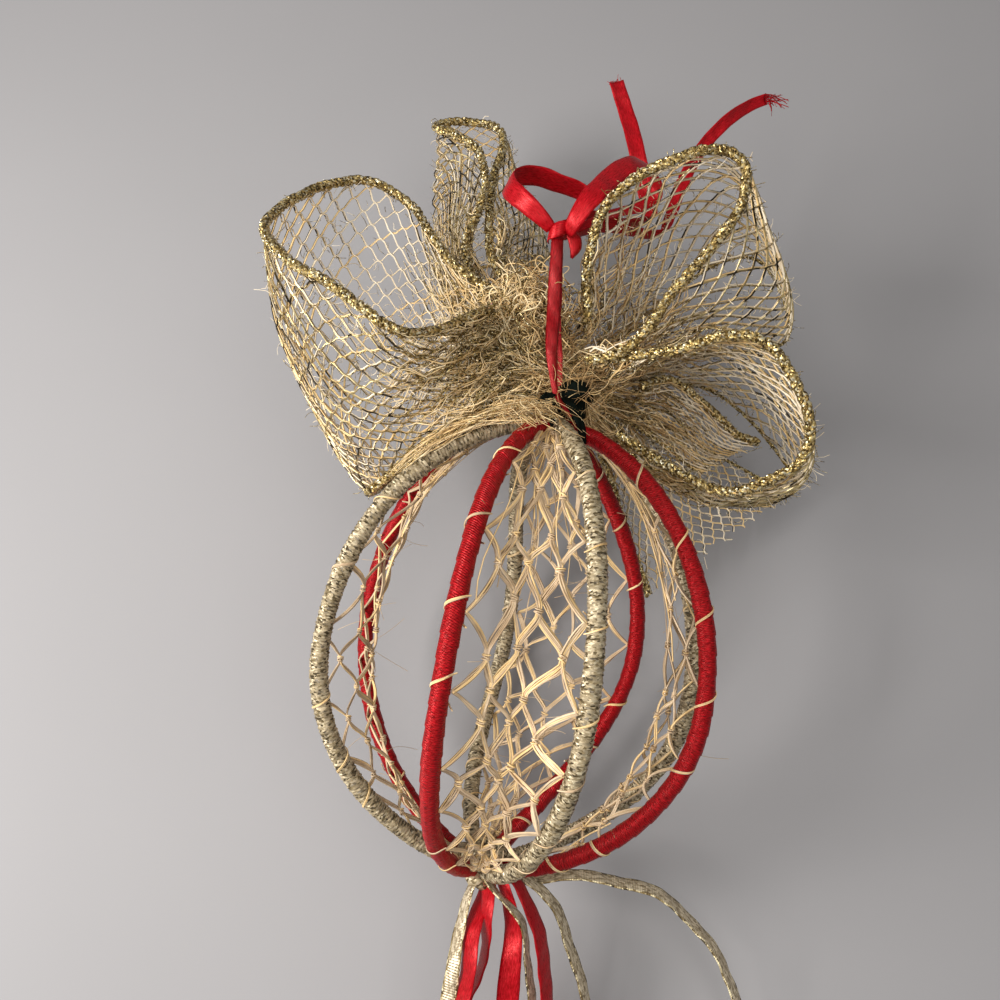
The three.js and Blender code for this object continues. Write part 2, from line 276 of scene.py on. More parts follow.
# %% Shader toolbox
class Finish:
    """A Principled material that is being put together node by node."""

    def __init__(self, name, roughness, metallic=0.0, specular=0.5):
        self.material = bpy.data.materials.new(name)
        self.material.use_nodes = True
        self.nodes = self.material.node_tree.nodes
        self.shader = self.nodes["Principled BSDF"]
        self.shader.inputs["Roughness"].default_value = roughness
        self.shader.inputs["Metallic"].default_value = metallic
        self.shader.inputs["Specular IOR Level"].default_value = specular
        self.where = self.nodes.new("ShaderNodeTexCoord")
        self.heights = []

    def link(self, a, b):
        self.material.node_tree.links.new(a, b)

    def mapped(self, source, scale, turn=0.0):
        node = self.nodes.new("ShaderNodeMapping")
        node.inputs["Scale"].default_value = scale
        node.inputs["Rotation"].default_value = (0, 0, turn)
        self.link(self.where.outputs[source], node.inputs["Vector"])
        return node.outputs["Vector"]

    def noise(self, vector, scale, detail=3.0):
        node = self.nodes.new("ShaderNodeTexNoise")
        node.inputs["Scale"].default_value = scale
        node.inputs["Detail"].default_value = detail
        self.link(vector, node.inputs["Vector"])
        return node.outputs["Fac"]

    def wave(self, vector, scale, distortion=0.0, detail=1.0):
        node = self.nodes.new("ShaderNodeTexWave")
        node.inputs["Scale"].default_value = scale
        node.inputs["Distortion"].default_value = distortion
        node.inputs["Detail"].default_value = detail
        node.bands_direction = "DIAGONAL"
        self.link(vector, node.inputs["Vector"])
        return node.outputs["Fac"]

    def cells(self, vector, scale):
        """A random colour for each cell, and its red part, which is a random number."""
        node = self.nodes.new("ShaderNodeTexVoronoi")
        node.inputs["Scale"].default_value = scale
        self.link(vector, node.inputs["Vector"])
        parts = self.nodes.new("ShaderNodeSeparateColor")
        self.link(node.outputs["Color"], parts.inputs["Color"])
        return node.outputs["Color"], parts.outputs["Red"]

    def vector(self, operation, a, b=None, scale=None):
        node = self.nodes.new("ShaderNodeVectorMath")
        node.operation = operation
        self.link(a, node.inputs[0])
        if scale is not None:
            node.inputs["Scale"].default_value = scale
        if isinstance(b, tuple):
            node.inputs[1].default_value = b
        elif b is not None:
            self.link(b, node.inputs[1])
        return node.outputs["Vector"]

    def ramp(self, factor, *stops):
        node = self.nodes.new("ShaderNodeValToRGB")
        band = node.color_ramp
        for place, _ in stops[2:]:
            band.elements.new(place)
        for element, (place, colour) in zip(band.elements, sorted(stops, key=lambda s: s[0])):
            element.position = place
            element.color = (*colour, 1)
        self.link(factor, node.inputs["Fac"])
        return node.outputs["Color"]

    def mix(self, factor, a, b):
        node = self.nodes.new("ShaderNodeMix")
        node.data_type = "RGBA"
        if isinstance(factor, float):
            node.inputs["Factor"].default_value = factor
        else:
            self.link(factor, node.inputs["Factor"])
        self.link(a, node.inputs["A"])
        self.link(b, node.inputs["B"])
        return node.outputs["Result"]

    def bump(self, height, depth, strength=1.0):
        node = self.nodes.new("ShaderNodeBump")
        node.inputs["Distance"].default_value = depth
        node.inputs["Strength"].default_value = strength
        self.link(height, node.inputs["Height"])
        if self.heights:
            self.link(self.heights[-1], node.inputs["Normal"])
        self.heights.append(node.outputs["Normal"])

    def done(self, colour, normal=None):
        self.link(colour, self.shader.inputs["Base Color"])
        if normal is None and self.heights:
            normal = self.heights[-1]
        if normal is not None:
            self.link(normal, self.shader.inputs["Normal"])
        return self.material


print("shader toolbox is ready")

# %% [markdown]
# Satin is woven so that long shiny threads lie on top. Its highlight is broad along the weave and
# breaks up into tiny sparks. Very fine thread lines in bump, crossed by a noise, give that broken
# highlight; the colour only varies a little with the same noise, from deep to bright red, as a
# painted sparkle on the threads. Real threads would be far too many and too fine to model, and a
# picture of a weave would blur close up, so nodes draw them.

# %% Red satin
# The ribbon reds are brighter than the wrapped ones: painted light on the hanging ribbons that face the
# lamp.
LIT_RIBBON_REDS = ((0.25, 0.001, 0.003), (0.36, 0.002, 0.006), (0.53, 0.005, 0.016))
WRAPPED_REDS = ((0.13, 0.001, 0.002), (0.29, 0.002, 0.004), (0.52, 0.004, 0.012))
SHADED_STRAND_REDS = ((0.12, 0.001, 0.002), (0.20, 0.001, 0.003), (0.33, 0.003, 0.009))  # darker: painted shade that the bow's loops cast on the hanging strands
THREAD_SHINE = (1.0, 0.40, 0.38, 1)
THREAD_GLOSS = ((0.35, (0.24,) * 3), (0.65, (0.46,) * 3))  # roughness in the grooves and on top
RIBBON_THREADS, WRAPPED_THREADS = (7, 44, 1), (44, 7, 1)
RIBBON_RIDGES, WRAPPED_RIDGES = (2, 30, 0), (1 / 0.055, -9 / 1.414, 0)
BAND_SCALE = TURN / 10  # a diagonal wave then repeats once for each unit of its mapped vector


def red_satin(name, reds, thread_scale, thread_depth, ridge_scale, ridge_depth):
    satin = Finish(name, roughness=0.32, metallic=0.25, specular=0.6)
    satin.shader.inputs["Specular Tint"].default_value = THREAD_SHINE
    threads = satin.noise(satin.mapped("UV", thread_scale), 1.0, detail=2.0)
    ridges = satin.wave(satin.mapped("UV", ridge_scale), BAND_SCALE, distortion=0.6, detail=2.0)
    satin.bump(ridges, ridge_depth, 1.0)
    satin.bump(threads, thread_depth, 0.9)
    satin.link(satin.ramp(threads, *THREAD_GLOSS), satin.shader.inputs["Roughness"])
    return satin.done(satin.ramp(threads, *zip((0.30, 0.50, 0.70), reds)))


flat_threads = (RIBBON_THREADS, 0.06 * MM, RIBBON_RIDGES, 0.02 * MM)
ribbon_satin = red_satin("red_satin_ribbon", LIT_RIBBON_REDS, *flat_threads)
# The hanging strands' satin is darker than the ribbon satin, as painted shade.
shaded_strand_satin = red_satin("red_satin_strand_shaded", SHADED_STRAND_REDS, *flat_threads)
wrapped_satin = red_satin("red_satin_wrapped", WRAPPED_REDS, WRAPPED_THREADS, 0.20 * MM,
                          WRAPPED_RIDGES, 0.12 * MM)
print("made", ribbon_satin.name, shaded_strand_satin.name, wrapped_satin.name)

# %% [markdown]
# Glitter cord and braid hold thousands of tiny flat strips of metal film. Each strip mirrors a
# different part of the room, so some flash and some are dark. Modelled one by one they would take
# millions of faces. The material does it by tilting the normal by a random amount in every cell of a
# fine Voronoi pattern, and by painting each cell its own shade of gold, from near black to pale: the
# bright cells are painted glints and the dark ones painted dark reflections, on top of the real ones.

# %% Gold glitter and gold braid
def glitter(name, colours, flake_scale, tilt, roughness, metallic, wound=None, patches=None):
    gold = Finish(name, roughness=roughness, metallic=metallic)
    place = gold.mapped("UV", wound, 0.75) if wound else gold.mapped("Object", (1, 1, 1))
    flakes, shade = gold.cells(place, flake_scale)
    if patches:
        shade = gold.mix(0.5, shade, gold.noise(place, patches))
    tilted = gold.vector("SCALE", gold.vector("SUBTRACT", flakes, (0.5, 0.5, 0.5)), scale=tilt)
    upright = gold.nodes.new("ShaderNodeNewGeometry").outputs["Normal"]
    normal = gold.vector("NORMALIZE", gold.vector("ADD", upright, tilted))
    return gold.done(gold.ramp(shade, *colours), normal)


GLITTER_GOLD = ((0.0, (0.035, 0.022, 0.007)), (0.34, (0.18, 0.112, 0.030)), (0.58, (0.46, 0.33, 0.110)),
                (0.82, (0.86, 0.69, 0.33)), (0.96, (1.0, 0.94, 0.70)))
BRAID_SILVER = ((0.30, (0.050, 0.035, 0.014)), (0.38, (0.17, 0.125, 0.058)), (0.46, (0.33, 0.26, 0.15)),
                (0.62, (0.43, 0.35, 0.225)), (0.80, (0.84, 0.73, 0.49)))
# The film is near black in many cells, a painted dark reflection of the room; its gold cells are a painted
# glint.
FILM_TONES = ((0.0, (0.012, 0.008, 0.003)), (0.41, (0.040, 0.027, 0.010)), (0.46, (0.40, 0.29, 0.12)),
              (0.70, (0.84, 0.69, 0.37)))
cord_gold = glitter("gold_glitter_cord", GLITTER_GOLD, 2100, 1.3, 0.30, 0.65)
rib_braid = glitter("gold_braid_wrapped", BRAID_SILVER, 1.0, 0.9, 0.42, 0.3, wound=(26, 12, 1),
                    patches=0.28)
foot_braid = glitter("gold_braid_foot", BRAID_SILVER, 1300, 0.9, 0.42, 0.3, patches=260)
film_dark = glitter("gold_film", FILM_TONES, 330, 0.9, 0.32, 0.6, patches=55)
print("made", cord_gold.name, rib_braid.name, foot_braid.name, film_dark.name)

# %% [markdown]
# The fibre is a flat strip of some plant: pale straw, a little glossy, with fine grooves along it and
# slow changes of tone. Two noises on Object coordinates are enough, because a fibre is too thin to
# show more. Several tones of it stop a bundle from looking like one solid mass.

# %% Plant fibre
def plant_fibre(name, dark, pale, roughness=0.42):
    fibre = Finish(name, roughness=roughness, specular=0.45)
    place = fibre.mapped("Object", (1, 1, 1))
    tone = fibre.noise(place, 130, detail=3.0)
    grooves = fibre.noise(place, 1500, detail=2.0)
    colour = fibre.ramp(tone, (0.32, dark), (0.68, pale))
    fibre.bump(grooves, 0.08 * MM, 0.7)
    return fibre.done(colour)


straw_pale = plant_fibre("straw_pale", (0.86, 0.64, 0.34), (0.98, 0.82, 0.52))
straw_mid = plant_fibre("straw_mid", (0.70, 0.48, 0.21), (0.92, 0.68, 0.35))
straw_brown = plant_fibre("straw_brown", (0.28, 0.155, 0.055), (0.54, 0.34, 0.14))
net_straw = plant_fibre("net_straw", (0.43, 0.295, 0.165), (0.71, 0.55, 0.365), roughness=0.36)
print("made", straw_pale.name, straw_mid.name, straw_brown.name, net_straw.name)

# %% [markdown]
# The crown is bound with a narrow dark green tape, matt and slightly creased. The creases could be
# pushed into the mesh, but on something this small and dark a noise in bump shows as much.

# %% Dark tape
def dark_tape():
    tape = Finish("dark_green_tape", roughness=0.6, specular=0.05)
    creases = tape.noise(tape.mapped("Object", (1, 1, 0.3)), 700, detail=4.0)
    colour = tape.ramp(creases, (0.35, (0.001, 0.002, 0.001)), (0.70, (0.004, 0.008, 0.006)))
    tape.bump(creases, 0.25 * MM, 0.8)
    return tape.done(colour)


tape_finish = dark_tape()
print("made", tape_finish.name)

# %% [markdown]
# The gold tassel ribbon is a sheer strip with a shiny gold thread along each edge and a fine
# lengthwise weave between them. The threads are finer than the mesh of the ribbon, so the material
# draws them: it reads the UV map across the ribbon, which is the same wherever the ribbon twists.

# %% Gold ribbon
GOLD_RIBBON_WIDTH = 4.4 * MM
SHEER_TONES = ((0.0, (0.20, 0.15, 0.085)), (0.40, (0.42, 0.34, 0.22)), (0.90, (0.66, 0.56, 0.40)))
THREAD_TONES = ((0.0, (0.030, 0.019, 0.006)), (0.45, (0.30, 0.21, 0.08)), (0.90, (1.0, 0.88, 0.56)))
EDGE_THREADS = ((0.11, (1, 1, 1)), (0.15, (0, 0, 0)), (0.85, (0, 0, 0)), (0.89, (1, 1, 1)))  # white: thread


def gold_ribbon(width):
    gold = Finish("gold_braid_ribbon", roughness=0.38, metallic=0.35)
    _, shade = gold.cells(gold.mapped("UV", (9, 26, 1)), 1.0)
    sheer = gold.ramp(shade, *SHEER_TONES)
    bright = gold.ramp(shade, *THREAD_TONES)
    across = gold.nodes.new("ShaderNodeSeparateXYZ")
    gold.link(gold.mapped("UV", (1, CENTIMETRE / width, 1)), across.inputs["Vector"])
    thread = gold.ramp(across.outputs["Y"], *EDGE_THREADS)
    weave = gold.wave(gold.mapped("UV", (14, 0, 0)), BAND_SCALE)
    gold.bump(weave, 0.12 * MM, 0.8)
    return gold.done(gold.mix(thread, sheer, bright))


gold_ribbon_finish = gold_ribbon(GOLD_RIBBON_WIDTH)
print("made", gold_ribbon_finish.name)

# %% [markdown]
# Cords come first: each satin or gold ribbon is a free length of something limp. Its route repeats
# the CAD route. A list of directions says which way the ribbon is wide at places along the route, so
# that it twists, and shows its face, its edge or its back as a real ribbon does.

# %% Flat ribbons on a route
RIBBON_STEP = 1.0 * MM
RIBBON_CELLS_ACROSS = 6
RIBBON_THICKNESS = 0.22


def facing(*degrees):
    """Wide ways of an upright ribbon: 0 shows its face to the front, 90 its edge."""
    return [(math.cos(math.radians(d)), math.sin(math.radians(d)), 0) for d in degrees]


def wide_ways(line, ways):
    """The ribbon's wide and off directions at each place, from ways spread evenly along it."""
    ahead = headings(line)
    share = np.linspace(0, 1, len(line))
    given = np.array(ways, float)
    wide = places_at(given, np.linspace(0, 1, len(given)), share)
    wide = unit(wide - ahead * np.sum(wide * ahead, 1, keepdims=True))
    return wide, np.cross(ahead, wide)


def flat_ribbon(name, route, width, ways, pinch, cup, material, skew=0.0):
    """pinch gives the width as shares along the ribbon, cup how far its middle stands off, and skew
    how slanting its far end is cut."""
    line = even_line(np.array(route) * MM, RIBBON_STEP)
    wide, off = wide_ways(line, ways)
    last = len(line) - 1
    length = run_of(line)[-1]

    def place(along, across):
        aside = across - 0.5
        at = np.clip(along * last + skew * aside * along**8 * last / 20, 0, last)
        i = np.minimum(at.astype(int), last - 1)
        u = (at - i)[:, None]
        narrow = np.interp(along, np.linspace(0, 1, len(pinch)), pinch)[:, None]
        spot = line[i] * (1 - u) + line[i + 1] * u
        way = wide[i] * (1 - u) + wide[i + 1] * u
        out = off[i] * (1 - u) + off[i + 1] * u
        run = along[:, None] * length / MM
        bulge = cup * (1 - 4 * aside[:, None] ** 2) + 0.10 * MM * np.sin(run * 0.9 + 5 * across[:, None])
        bulge = bulge + 0.45 * MM * np.sin(run * 0.27 + route[0][0])
        return spot + way * aside[:, None] * width * narrow + out * bulge

    piece = shaped_grid(name, (last, RIBBON_CELLS_ACROSS), place, (length, width), material)
    wall = piece.modifiers.new("thickness", "SOLIDIFY")
    wall.thickness = RIBBON_THICKNESS * MM
    wall.offset = 0
    return piece, line, length


HANGER_WIDTH = 6.0
HANGER = {
    "hanger_strand_front": (
        [[5.6, -5.6, -46.0], [4.4, -5, -43.8], [2.5, -4, -40.9], [1.1, -3.2, -36.0], [0, -2.6, -28.9],
         [0.1, -2.2, -21.2], [0.1, -2, -13.5], [0, -1.6, -4.5], [0, -1.4, -0.2]],
        facing(50, 30, 10, -5, 5, 10), [0.28, 0.32, 0.52, 0.58, 0.56, 0.5], -0.6),
    "hanger_strand_rear": (
        [[2.1, 2.2, -42.4], [2.3, 1.9, -38], [1.6, 1.7, -27], [0.9, 1.6, -16], [0.3, 1.5, -6],
         [0, 1.4, -0.4]],
        facing(-20, 10, 25, 20, 10), [0.4, 0.45, 0.5, 0.5, 0.45], 0.6),
    "hanger_loop_left": (
        [[-1.7, -1.5, 2.3], [-4.5, -3, 4.6], [-7.9, -4, 7.1], [-11.1, -3, 9.8], [-13.0, 0, 12.6],
         [-12.3, 4, 15.8], [-9.3, 7, 17.9], [-5, 9.5, 19], [-0.1, 11, 18.1], [5.4, 12, 16.4],
         [8.7, 12, 14.6]],
        [(0.62, -0.35, 0.7), (0.62, -0.42, 0.66), (0.5, -0.55, 0.66), (0.2, -0.72, 0.62),
         (0.12, -0.8, 0.58), (0.2, -0.75, 0.62)],
        [0.5, 0.8, 0.92, 0.95, 1, 1, 0.95, 0.8], -0.3),
    "hanger_loop_right": (
        [[2.4, -2, 0.9], [4.1, -4, 3.8], [6.6, -4.5, 8.0], [10, -3, 12.7], [14.6, 2, 18.7],
         [20.5, 8, 22.9], [26.2, 14, 22.9], [27, 18, 18.5], [22, 16.5, 14.6], [16, 14, 11.6],
         [9.5, 10, 7.5], [4, 7, 4.5]],
        [(0.82, -0.1, -0.5), (0.8, -0.2, -0.55), (0.62, -0.3, -0.7), (0.3, -0.6, -0.7),
         (0.3, -0.7, -0.6)],
        [0.55, 0.95, 1, 1, 0.9, 0.7, 0.6, 0.45], -0.3),
    "hanger_tail_left": (
        [[1, 6, 5.5], [8, 14, 10.5], [18.5, 24, 12], [27.5, 32, 15.5], [26.4, 33, 23], [23.2, 34, 35],
         [20.6, 36, 45.5], [16.3, 38, 57.1]],
        [(0.1, -0.7, 0.65), (0.1, -0.7, 0.65), (0.5, -0.6, 0.6), (1, 0, 0.1), (1, 0.1, 0.2),
         (1, 0.2, 0.2)],
        [0.45, 0.5, 0.6, 0.7, 0.8, 0.8, 0.75], 0.4),
    "hanger_tail_right": (
        [[0, 7, 2.5], [8, 15, 6.5], [17.9, 24, 10.5], [30.8, 33, 11.5], [34, 35, 18.5], [37, 37, 27.5],
         [42, 40, 38], [50, 43, 49], [57.3, 46, 55.2], [63.4, 48, 58.8]],
        [(0.1, -0.7, 0.65), (0.1, -0.7, 0.65), (0.5, -0.6, 0.6), (0.9, 0.2, 0.1), (0.7, 0.4, -0.5),
         (0.5, 0.5, -0.6)],
        [0.45, 0.5, 0.55, 0.6, 0.62, 0.64, 0.64, 0.55], 0.4),
}
FRAYED = {"hanger_tail_left": (22, 2.6, 3.6), "hanger_tail_right": (30, 1.9, 6.0)}  # fibres, spread, length

hanger = {}
for name, (route, ways, pinch, cup) in HANGER.items():
    strand = "strand" in name
    piece, line, length = flat_ribbon(name + "_ribbon", route, HANGER_WIDTH * MM, ways, pinch, cup * MM,
                                      shaded_strand_satin if strand else ribbon_satin)
    keep(piece, name)
    hanger[name] = line
    print(name, "is", round(length / MM, 1), "mm long")

# %% [markdown]
# The tassel's ribbons hang from the foot: four of the same red satin, four of a narrower sheer
# gold ribbon. They swing a little apart, and each is twisted its own way. The same function makes
# them, with routes of their own and a slanting cut at the lower end.

# %% Tassel ribbons
TASSEL = {
    "tassel_gold_left": (
        [[-10.9, 8, -166.5], [-12.2, 7, -169], [-14, 5, -173], [-15.2, 3.5, -180], [-15.8, 2, -188],
         [-17, 2, -197.5], [-18.2, 2, -212], [-18.5, 2, -231], [-17, 2, -251.5]],
        facing(-60, -42, -25, -8, 0, 5, 10, 20), [0.6, 0.8, 0.95, 1, 1, 1, 1]),
    "tassel_red_left_front": (
        [[-8.2, 9, -167.5], [-9, 8, -171], [-10.3, 6, -175.5], [-11.5, 3, -180], [-12.2, 0, -186],
         [-13.3, 0, -196], [-14.6, -1, -211], [-15, -1, -226], [-14, -1, -241.5]],
        facing(-40, -48, -53, -52, -50, -40, -30), [0.7, 0.95, 1, 1, 1, 1, 0.9]),
    "tassel_red_left_rear": (
        [[-8.2, 7, -167], [-8.2, 4, -171], [-8, 3, -175], [-7.7, 4, -179.5], [-8.1, 5, -184.5],
         [-9.5, 6, -191], [-11.2, 7.5, -199], [-11.8, 9, -214], [-11.5, 10, -230], [-10.5, 10, -246]],
        facing(-40, -58, -74, -82, -80, -70, -50, -40), [0.7, 0.9, 1, 1, 1, 1, 0.9]),
    "tassel_red_middle": (
        [[-4.6, 7.5, -166.5], [-3.3, 6, -170], [-2, 5.5, -175.5], [-1, 5, -181], [-1, 4.5, -187],
         [-1.5, 4, -196], [-2, 3, -211.5], [-1.5, 2, -230], [0, 2, -248]],
        facing(-45, -30, -14, -10, -5, 10, 20), [0.6, 0.85, 1, 1, 1, 1, 0.9]),
    "tassel_gold_middle": (
        [[-9.3, 6, -166.5], [-5.9, 2.5, -168.3], [-2.6, 1.5, -171.5], [0, 2, -175], [2, 4, -180.5],
         [3.6, 6, -188], [4.5, 7, -197], [5.3, 9, -213], [5.5, 10, -234.5], [6, 10, -250.5]],
        facing(78, 72, 66, 56, 50, 40, 30), [0.6, 0.9, 1, 1, 1, 1, 1]),
    "tassel_red_right": (
        [[-2.4, 9, -166.5], [0.5, 8, -169], [3.2, 7, -175], [5.8, 6, -181], [7.8, 6, -188],
         [8.7, 6, -197], [8.6, 6, -213], [8.5, 6, -229], [9.5, 6, -245]],
        facing(62, 58, 56, 60, 62, 50, 40), [0.7, 1, 1, 1, 1, 1, 0.9]),
    "tassel_gold_right": (
        [[-2.5, 13, -167.5], [3.1, 13, -169.3], [8, 14, -174], [11.9, 15, -179.5], [14.7, 15, -186],
         [18.4, 15, -197], [22.5, 15, -211], [24.5, 15, -226], [25.3, 15, -240], [25.5, 15, -255.5]],
        [(0.2, 0.7, 0.7), (0.5, 0.75, 0.5), (0.55, 0.8, 0.2), (0.5, 0.9, 0), (0.4, 0.9, 0)],
        [0.6, 0.8, 0.9, 0.9, 0.9, 1, 1]),
    "tassel_gold_far": (
        [[-4.5, 17, -171], [4.5, 18, -170.5], [14, 19, -169.5], [25.5, 20, -170.5], [37, 22, -173.5],
         [47.5, 24, -180.5], [55, 24, -188.5], [60, 24, -196.5], [63.5, 24, -203.5], [67.5, 22, -219],
         [68.5, 20, -231.5], [68, 19, -242]],
        [(0, 0.75, 0.62), (0.1, 0.82, 0.5), (0.4, 0.85, 0.4), (0.7, 0.7, 0.2), (0.8, 0.6, 0)],
        [0.6, 0.8, 0.9, 0.9, 0.9, 0.9, 0.9]),
}

for name, (route, ways, pinch) in TASSEL.items():
    gold = "gold" in name
    width = GOLD_RIBBON_WIDTH if gold else HANGER_WIDTH * MM
    piece, line, length = flat_ribbon(name + "_ribbon", route, width, ways, pinch, 0.25 * MM,
                                      gold_ribbon_finish if gold else ribbon_satin, skew=1.0)
    keep(piece, name)
    print(name, "is", round(length / MM, 1), "mm long")

# %% [markdown]
# The globe has its own axis, which leans to the right and a little to the front. Everything on the
# globe is worked out square to that axis, as angles round it and heights along it, and then put in
# place by one function.

# %% The globe's own frame
GLOBE_RADIUS = 50.0
CROWN_HEIGHT = 62.4
FOOT_DEPTH = 55.4
CROWN_FULLNESS = 1.08
FOOT_FULLNESS = 1.3
GLOBE_CENTRE = np.array((-4.65, 5.2, -109.2))
LEAN_RIGHT = Matrix.Rotation(math.radians(5.8), 3, "Y")
LEAN_FORWARD = Matrix.Rotation(math.radians(4.1), 3, "X")
GLOBE_TURN = np.array(LEAN_RIGHT @ LEAN_FORWARD)
RIBS = [("gold_rib_front", 18, 1.0), ("red_rib_right", 64, 1.015), ("gold_rib_right", 84, 0.92),
        ("red_rib_back_right", 134, 1.0), ("gold_rib_back", 182, 1.0), ("red_rib_back_left", 236, 1.035),
        ("gold_rib_left", 288, 1.015), ("red_rib_front_left", 341, 1.01)]  # degrees round, fullness
RIB_RADIUS = 2.25
FIRST_BOUND, BOUND_APART = 18, 45  # degrees round the globe where the ribs are bound together


def on_globe(local):
    """Places square to the globe's axis, in millimetres, to places in the frame, in metres."""
    return (np.asarray(local) @ GLOBE_TURN.T + GLOBE_CENTRE) * MM


def profile(angle, reach):
    """A rib's distance from the axis and its height, at an angle down from the crown."""
    sine = np.maximum(np.sin(angle), 1e-6)
    above = np.cos(angle) > 0
    radius = GLOBE_RADIUS * reach * sine ** np.where(above, CROWN_FULLNESS, FOOT_FULLNESS)
    return radius, np.cos(angle) * np.where(above, CROWN_HEIGHT, FOOT_DEPTH)


def rib_turn(index, angle):
    """How far round the globe a rib is: evenly spread where it is bound, its own way at its belly."""
    bound = FIRST_BOUND + BOUND_APART * index
    return np.radians(bound + (RIBS[index][1] - bound) * np.sin(angle) ** 2)


def around(radius, turn, height):
    return np.stack([radius * np.sin(turn), -radius * np.cos(turn), height], -1)


def rib_line(index, first=4.5, last=173.0, count=1500):
    """A rib's centre line in the globe's own frame, from inside one binding to inside the other."""
    angle = np.radians(np.linspace(first, last, count))
    radius, height = profile(angle, RIBS[index][2])
    return around(radius, rib_turn(index, angle), height), angle


crown, foot = on_globe([[0, 0, CROWN_HEIGHT], [0, 0, -FOOT_DEPTH]]) / MM
print("crown at", crown.round(1), "foot at", foot.round(1))

# %% [markdown]
# A rib is a stiff wire with ribbon wound round it. Each turn of the satin overlaps the last, so a
# fine step runs round the rib like a screw thread. The gold braid is rounder and rougher: its turns
# stand up as soft ridges. Bump alone would leave the outline of the rib smooth, so the relief is
# made in the rolled grid itself, ring by ring.

# %% Ribs
RIB_RING_STEP = 0.3
RIB_SIDES = 12
SATIN_PITCH = 5.0
SATIN_STEP = 0.24
BRAID_PITCH = 3.3
BRAID_DEPTH = 0.14


def wrapped_rib(index):
    name = RIBS[index][0]
    red = name.startswith("red")
    coarse, _ = rib_line(index)
    run = run_of(coarse)
    rings = round(run[-1] / RIB_RING_STEP)
    wanted = np.linspace(0, run[-1], rings + 1)
    line = places_at(coarse, run, wanted)
    outward = unit(line * (1, 1, 0.6))
    ahead = headings(line)
    side = unit(np.cross(ahead, outward))
    outward = np.cross(side, ahead)
    lumps = [dice.uniform(0, TURN) for _ in range(6)]

    def place(along, across):
        i = np.rint(along * rings).astype(int)
        turn = across * TURN
        s = wanted[i]
        if red:
            wrap = (s / SATIN_PITCH - across + 0.18 * np.sin(s / 13 + lumps[0])) % 1
            relief = SATIN_STEP * (wrap - 0.5)
        else:
            wrap = (s / BRAID_PITCH + across + 0.22 * np.sin(s / 9 + lumps[0])) % 1
            relief = BRAID_DEPTH * (np.sin(math.pi * wrap) - 0.6)
            relief += 0.10 * np.sin(TURN * (s / 0.9 - 2 * across))
            relief += 0.08 * np.sin(TURN * (s / 1.3 + 3 * across))
        relief += 0.08 * np.sin(s / 5 + lumps[1] + 2 * turn) + 0.08 * np.sin(s / 11 + lumps[2] - turn)
        out = side[i].T * np.cos(turn) + outward[i].T * np.sin(turn)
        return on_globe(line[i] + (out * (RIB_RADIUS + relief)).T)

    size = (run[-1] * MM, TURN * RIB_RADIUS * MM)
    piece = shaped_grid(name + "_wrapped", (rings, RIB_SIDES), place, size,
                        wrapped_satin if red else rib_braid, rolled=True)
    keep(piece, name)
    print(name, "is", round(run[-1]), "mm long with", len(piece.data.polygons), "faces")


for index in range(len(RIBS)):
    wrapped_rib(index)

# %% [markdown]
# The net is knotted from flat bundles of fibre and spans four pairs of ribs. A row of knots sits
# between the knots of the row above, and each knot is joined to its two neighbours below, which
# makes lozenge and honeycomb cells. Where the net meets a rib, a bundle is often passed round the
# wire and back, which is the pale tie seen there. A sheet with holes in its material would look flat
# close up, so every fibre is a strand of its own.

# %% Net panels
NET_PAIRS = [(7, 0), (1, 2), (3, 4), (5, 6)]
NET_EDGE_GAP = 2.6
NET_BELLY = 9.0
NET_FIRST, NET_LAST = 15.0, 163.0
NET_ROWS = 19
NET_CELLS = 3
FIBRES_IN_BUNDLE = 5
FIBRE_RADIUS = 0.29
TIED_SHARE = 0.65  # of the places where the net meets a rib
LOOSE_FIBRES, NET_HAIRS = 18, 16  # in each panel


def net_place(pair, across, angle, outward=0.0):
    """Places on a panel. across runs from one rib to the next, angle down from the crown."""
    across, angle = np.broadcast_arrays(np.asarray(across, float), np.asarray(angle, float))
    edges = []
    for index, inset in zip(pair, (1, -1)):
        radius, height = profile(angle, RIBS[index][2])
        turn = rib_turn(index, angle) + inset * NET_EDGE_GAP / np.maximum(radius, 7)
        edges.append(around(radius, turn, height))
    spot = edges[0] * (1 - across[..., None]) + edges[1] * across[..., None]
    flat = np.linalg.norm(spot[..., :2], axis=-1)
    belly = NET_BELLY * np.sin(angle) * 4 * across * (1 - across)
    scale = (flat - belly + outward) / np.maximum(flat, 1e-6)
    return spot * np.stack([scale, scale, np.ones_like(scale)], -1)


def fibre_bundle(bundle, middle, spread):
    """Fibres side by side along a middle line, closer together at its two ends."""
    ahead = headings(middle)
    outward = unit(middle * (1, 1, 0.2))
    side = unit(np.cross(ahead, outward))
    share = np.linspace(0, 1, len(middle))
    for k in range(FIBRES_IN_BUNDLE):
        aside = (k / (FIBRES_IN_BUNDLE - 1) - 0.5) * 2
        open_out = 0.60 + 0.40 * np.sin(share * math.pi) ** 0.7
        drift = dice.uniform(-0.20, 0.20) * np.sin(share * math.pi * dice.uniform(1, 3))
        offset = (aside * spread * open_out + drift)[:, None]
        lift = dice.uniform(-0.25, 0.25) * np.sin(share * math.pi)[:, None]
        fibre = middle + side * offset + outward * lift
        bundle.add(on_globe(fibre), FIBRE_RADIUS * dice.uniform(0.75, 1.2) * MM, dice.choice((0, 0, 0, 1)))


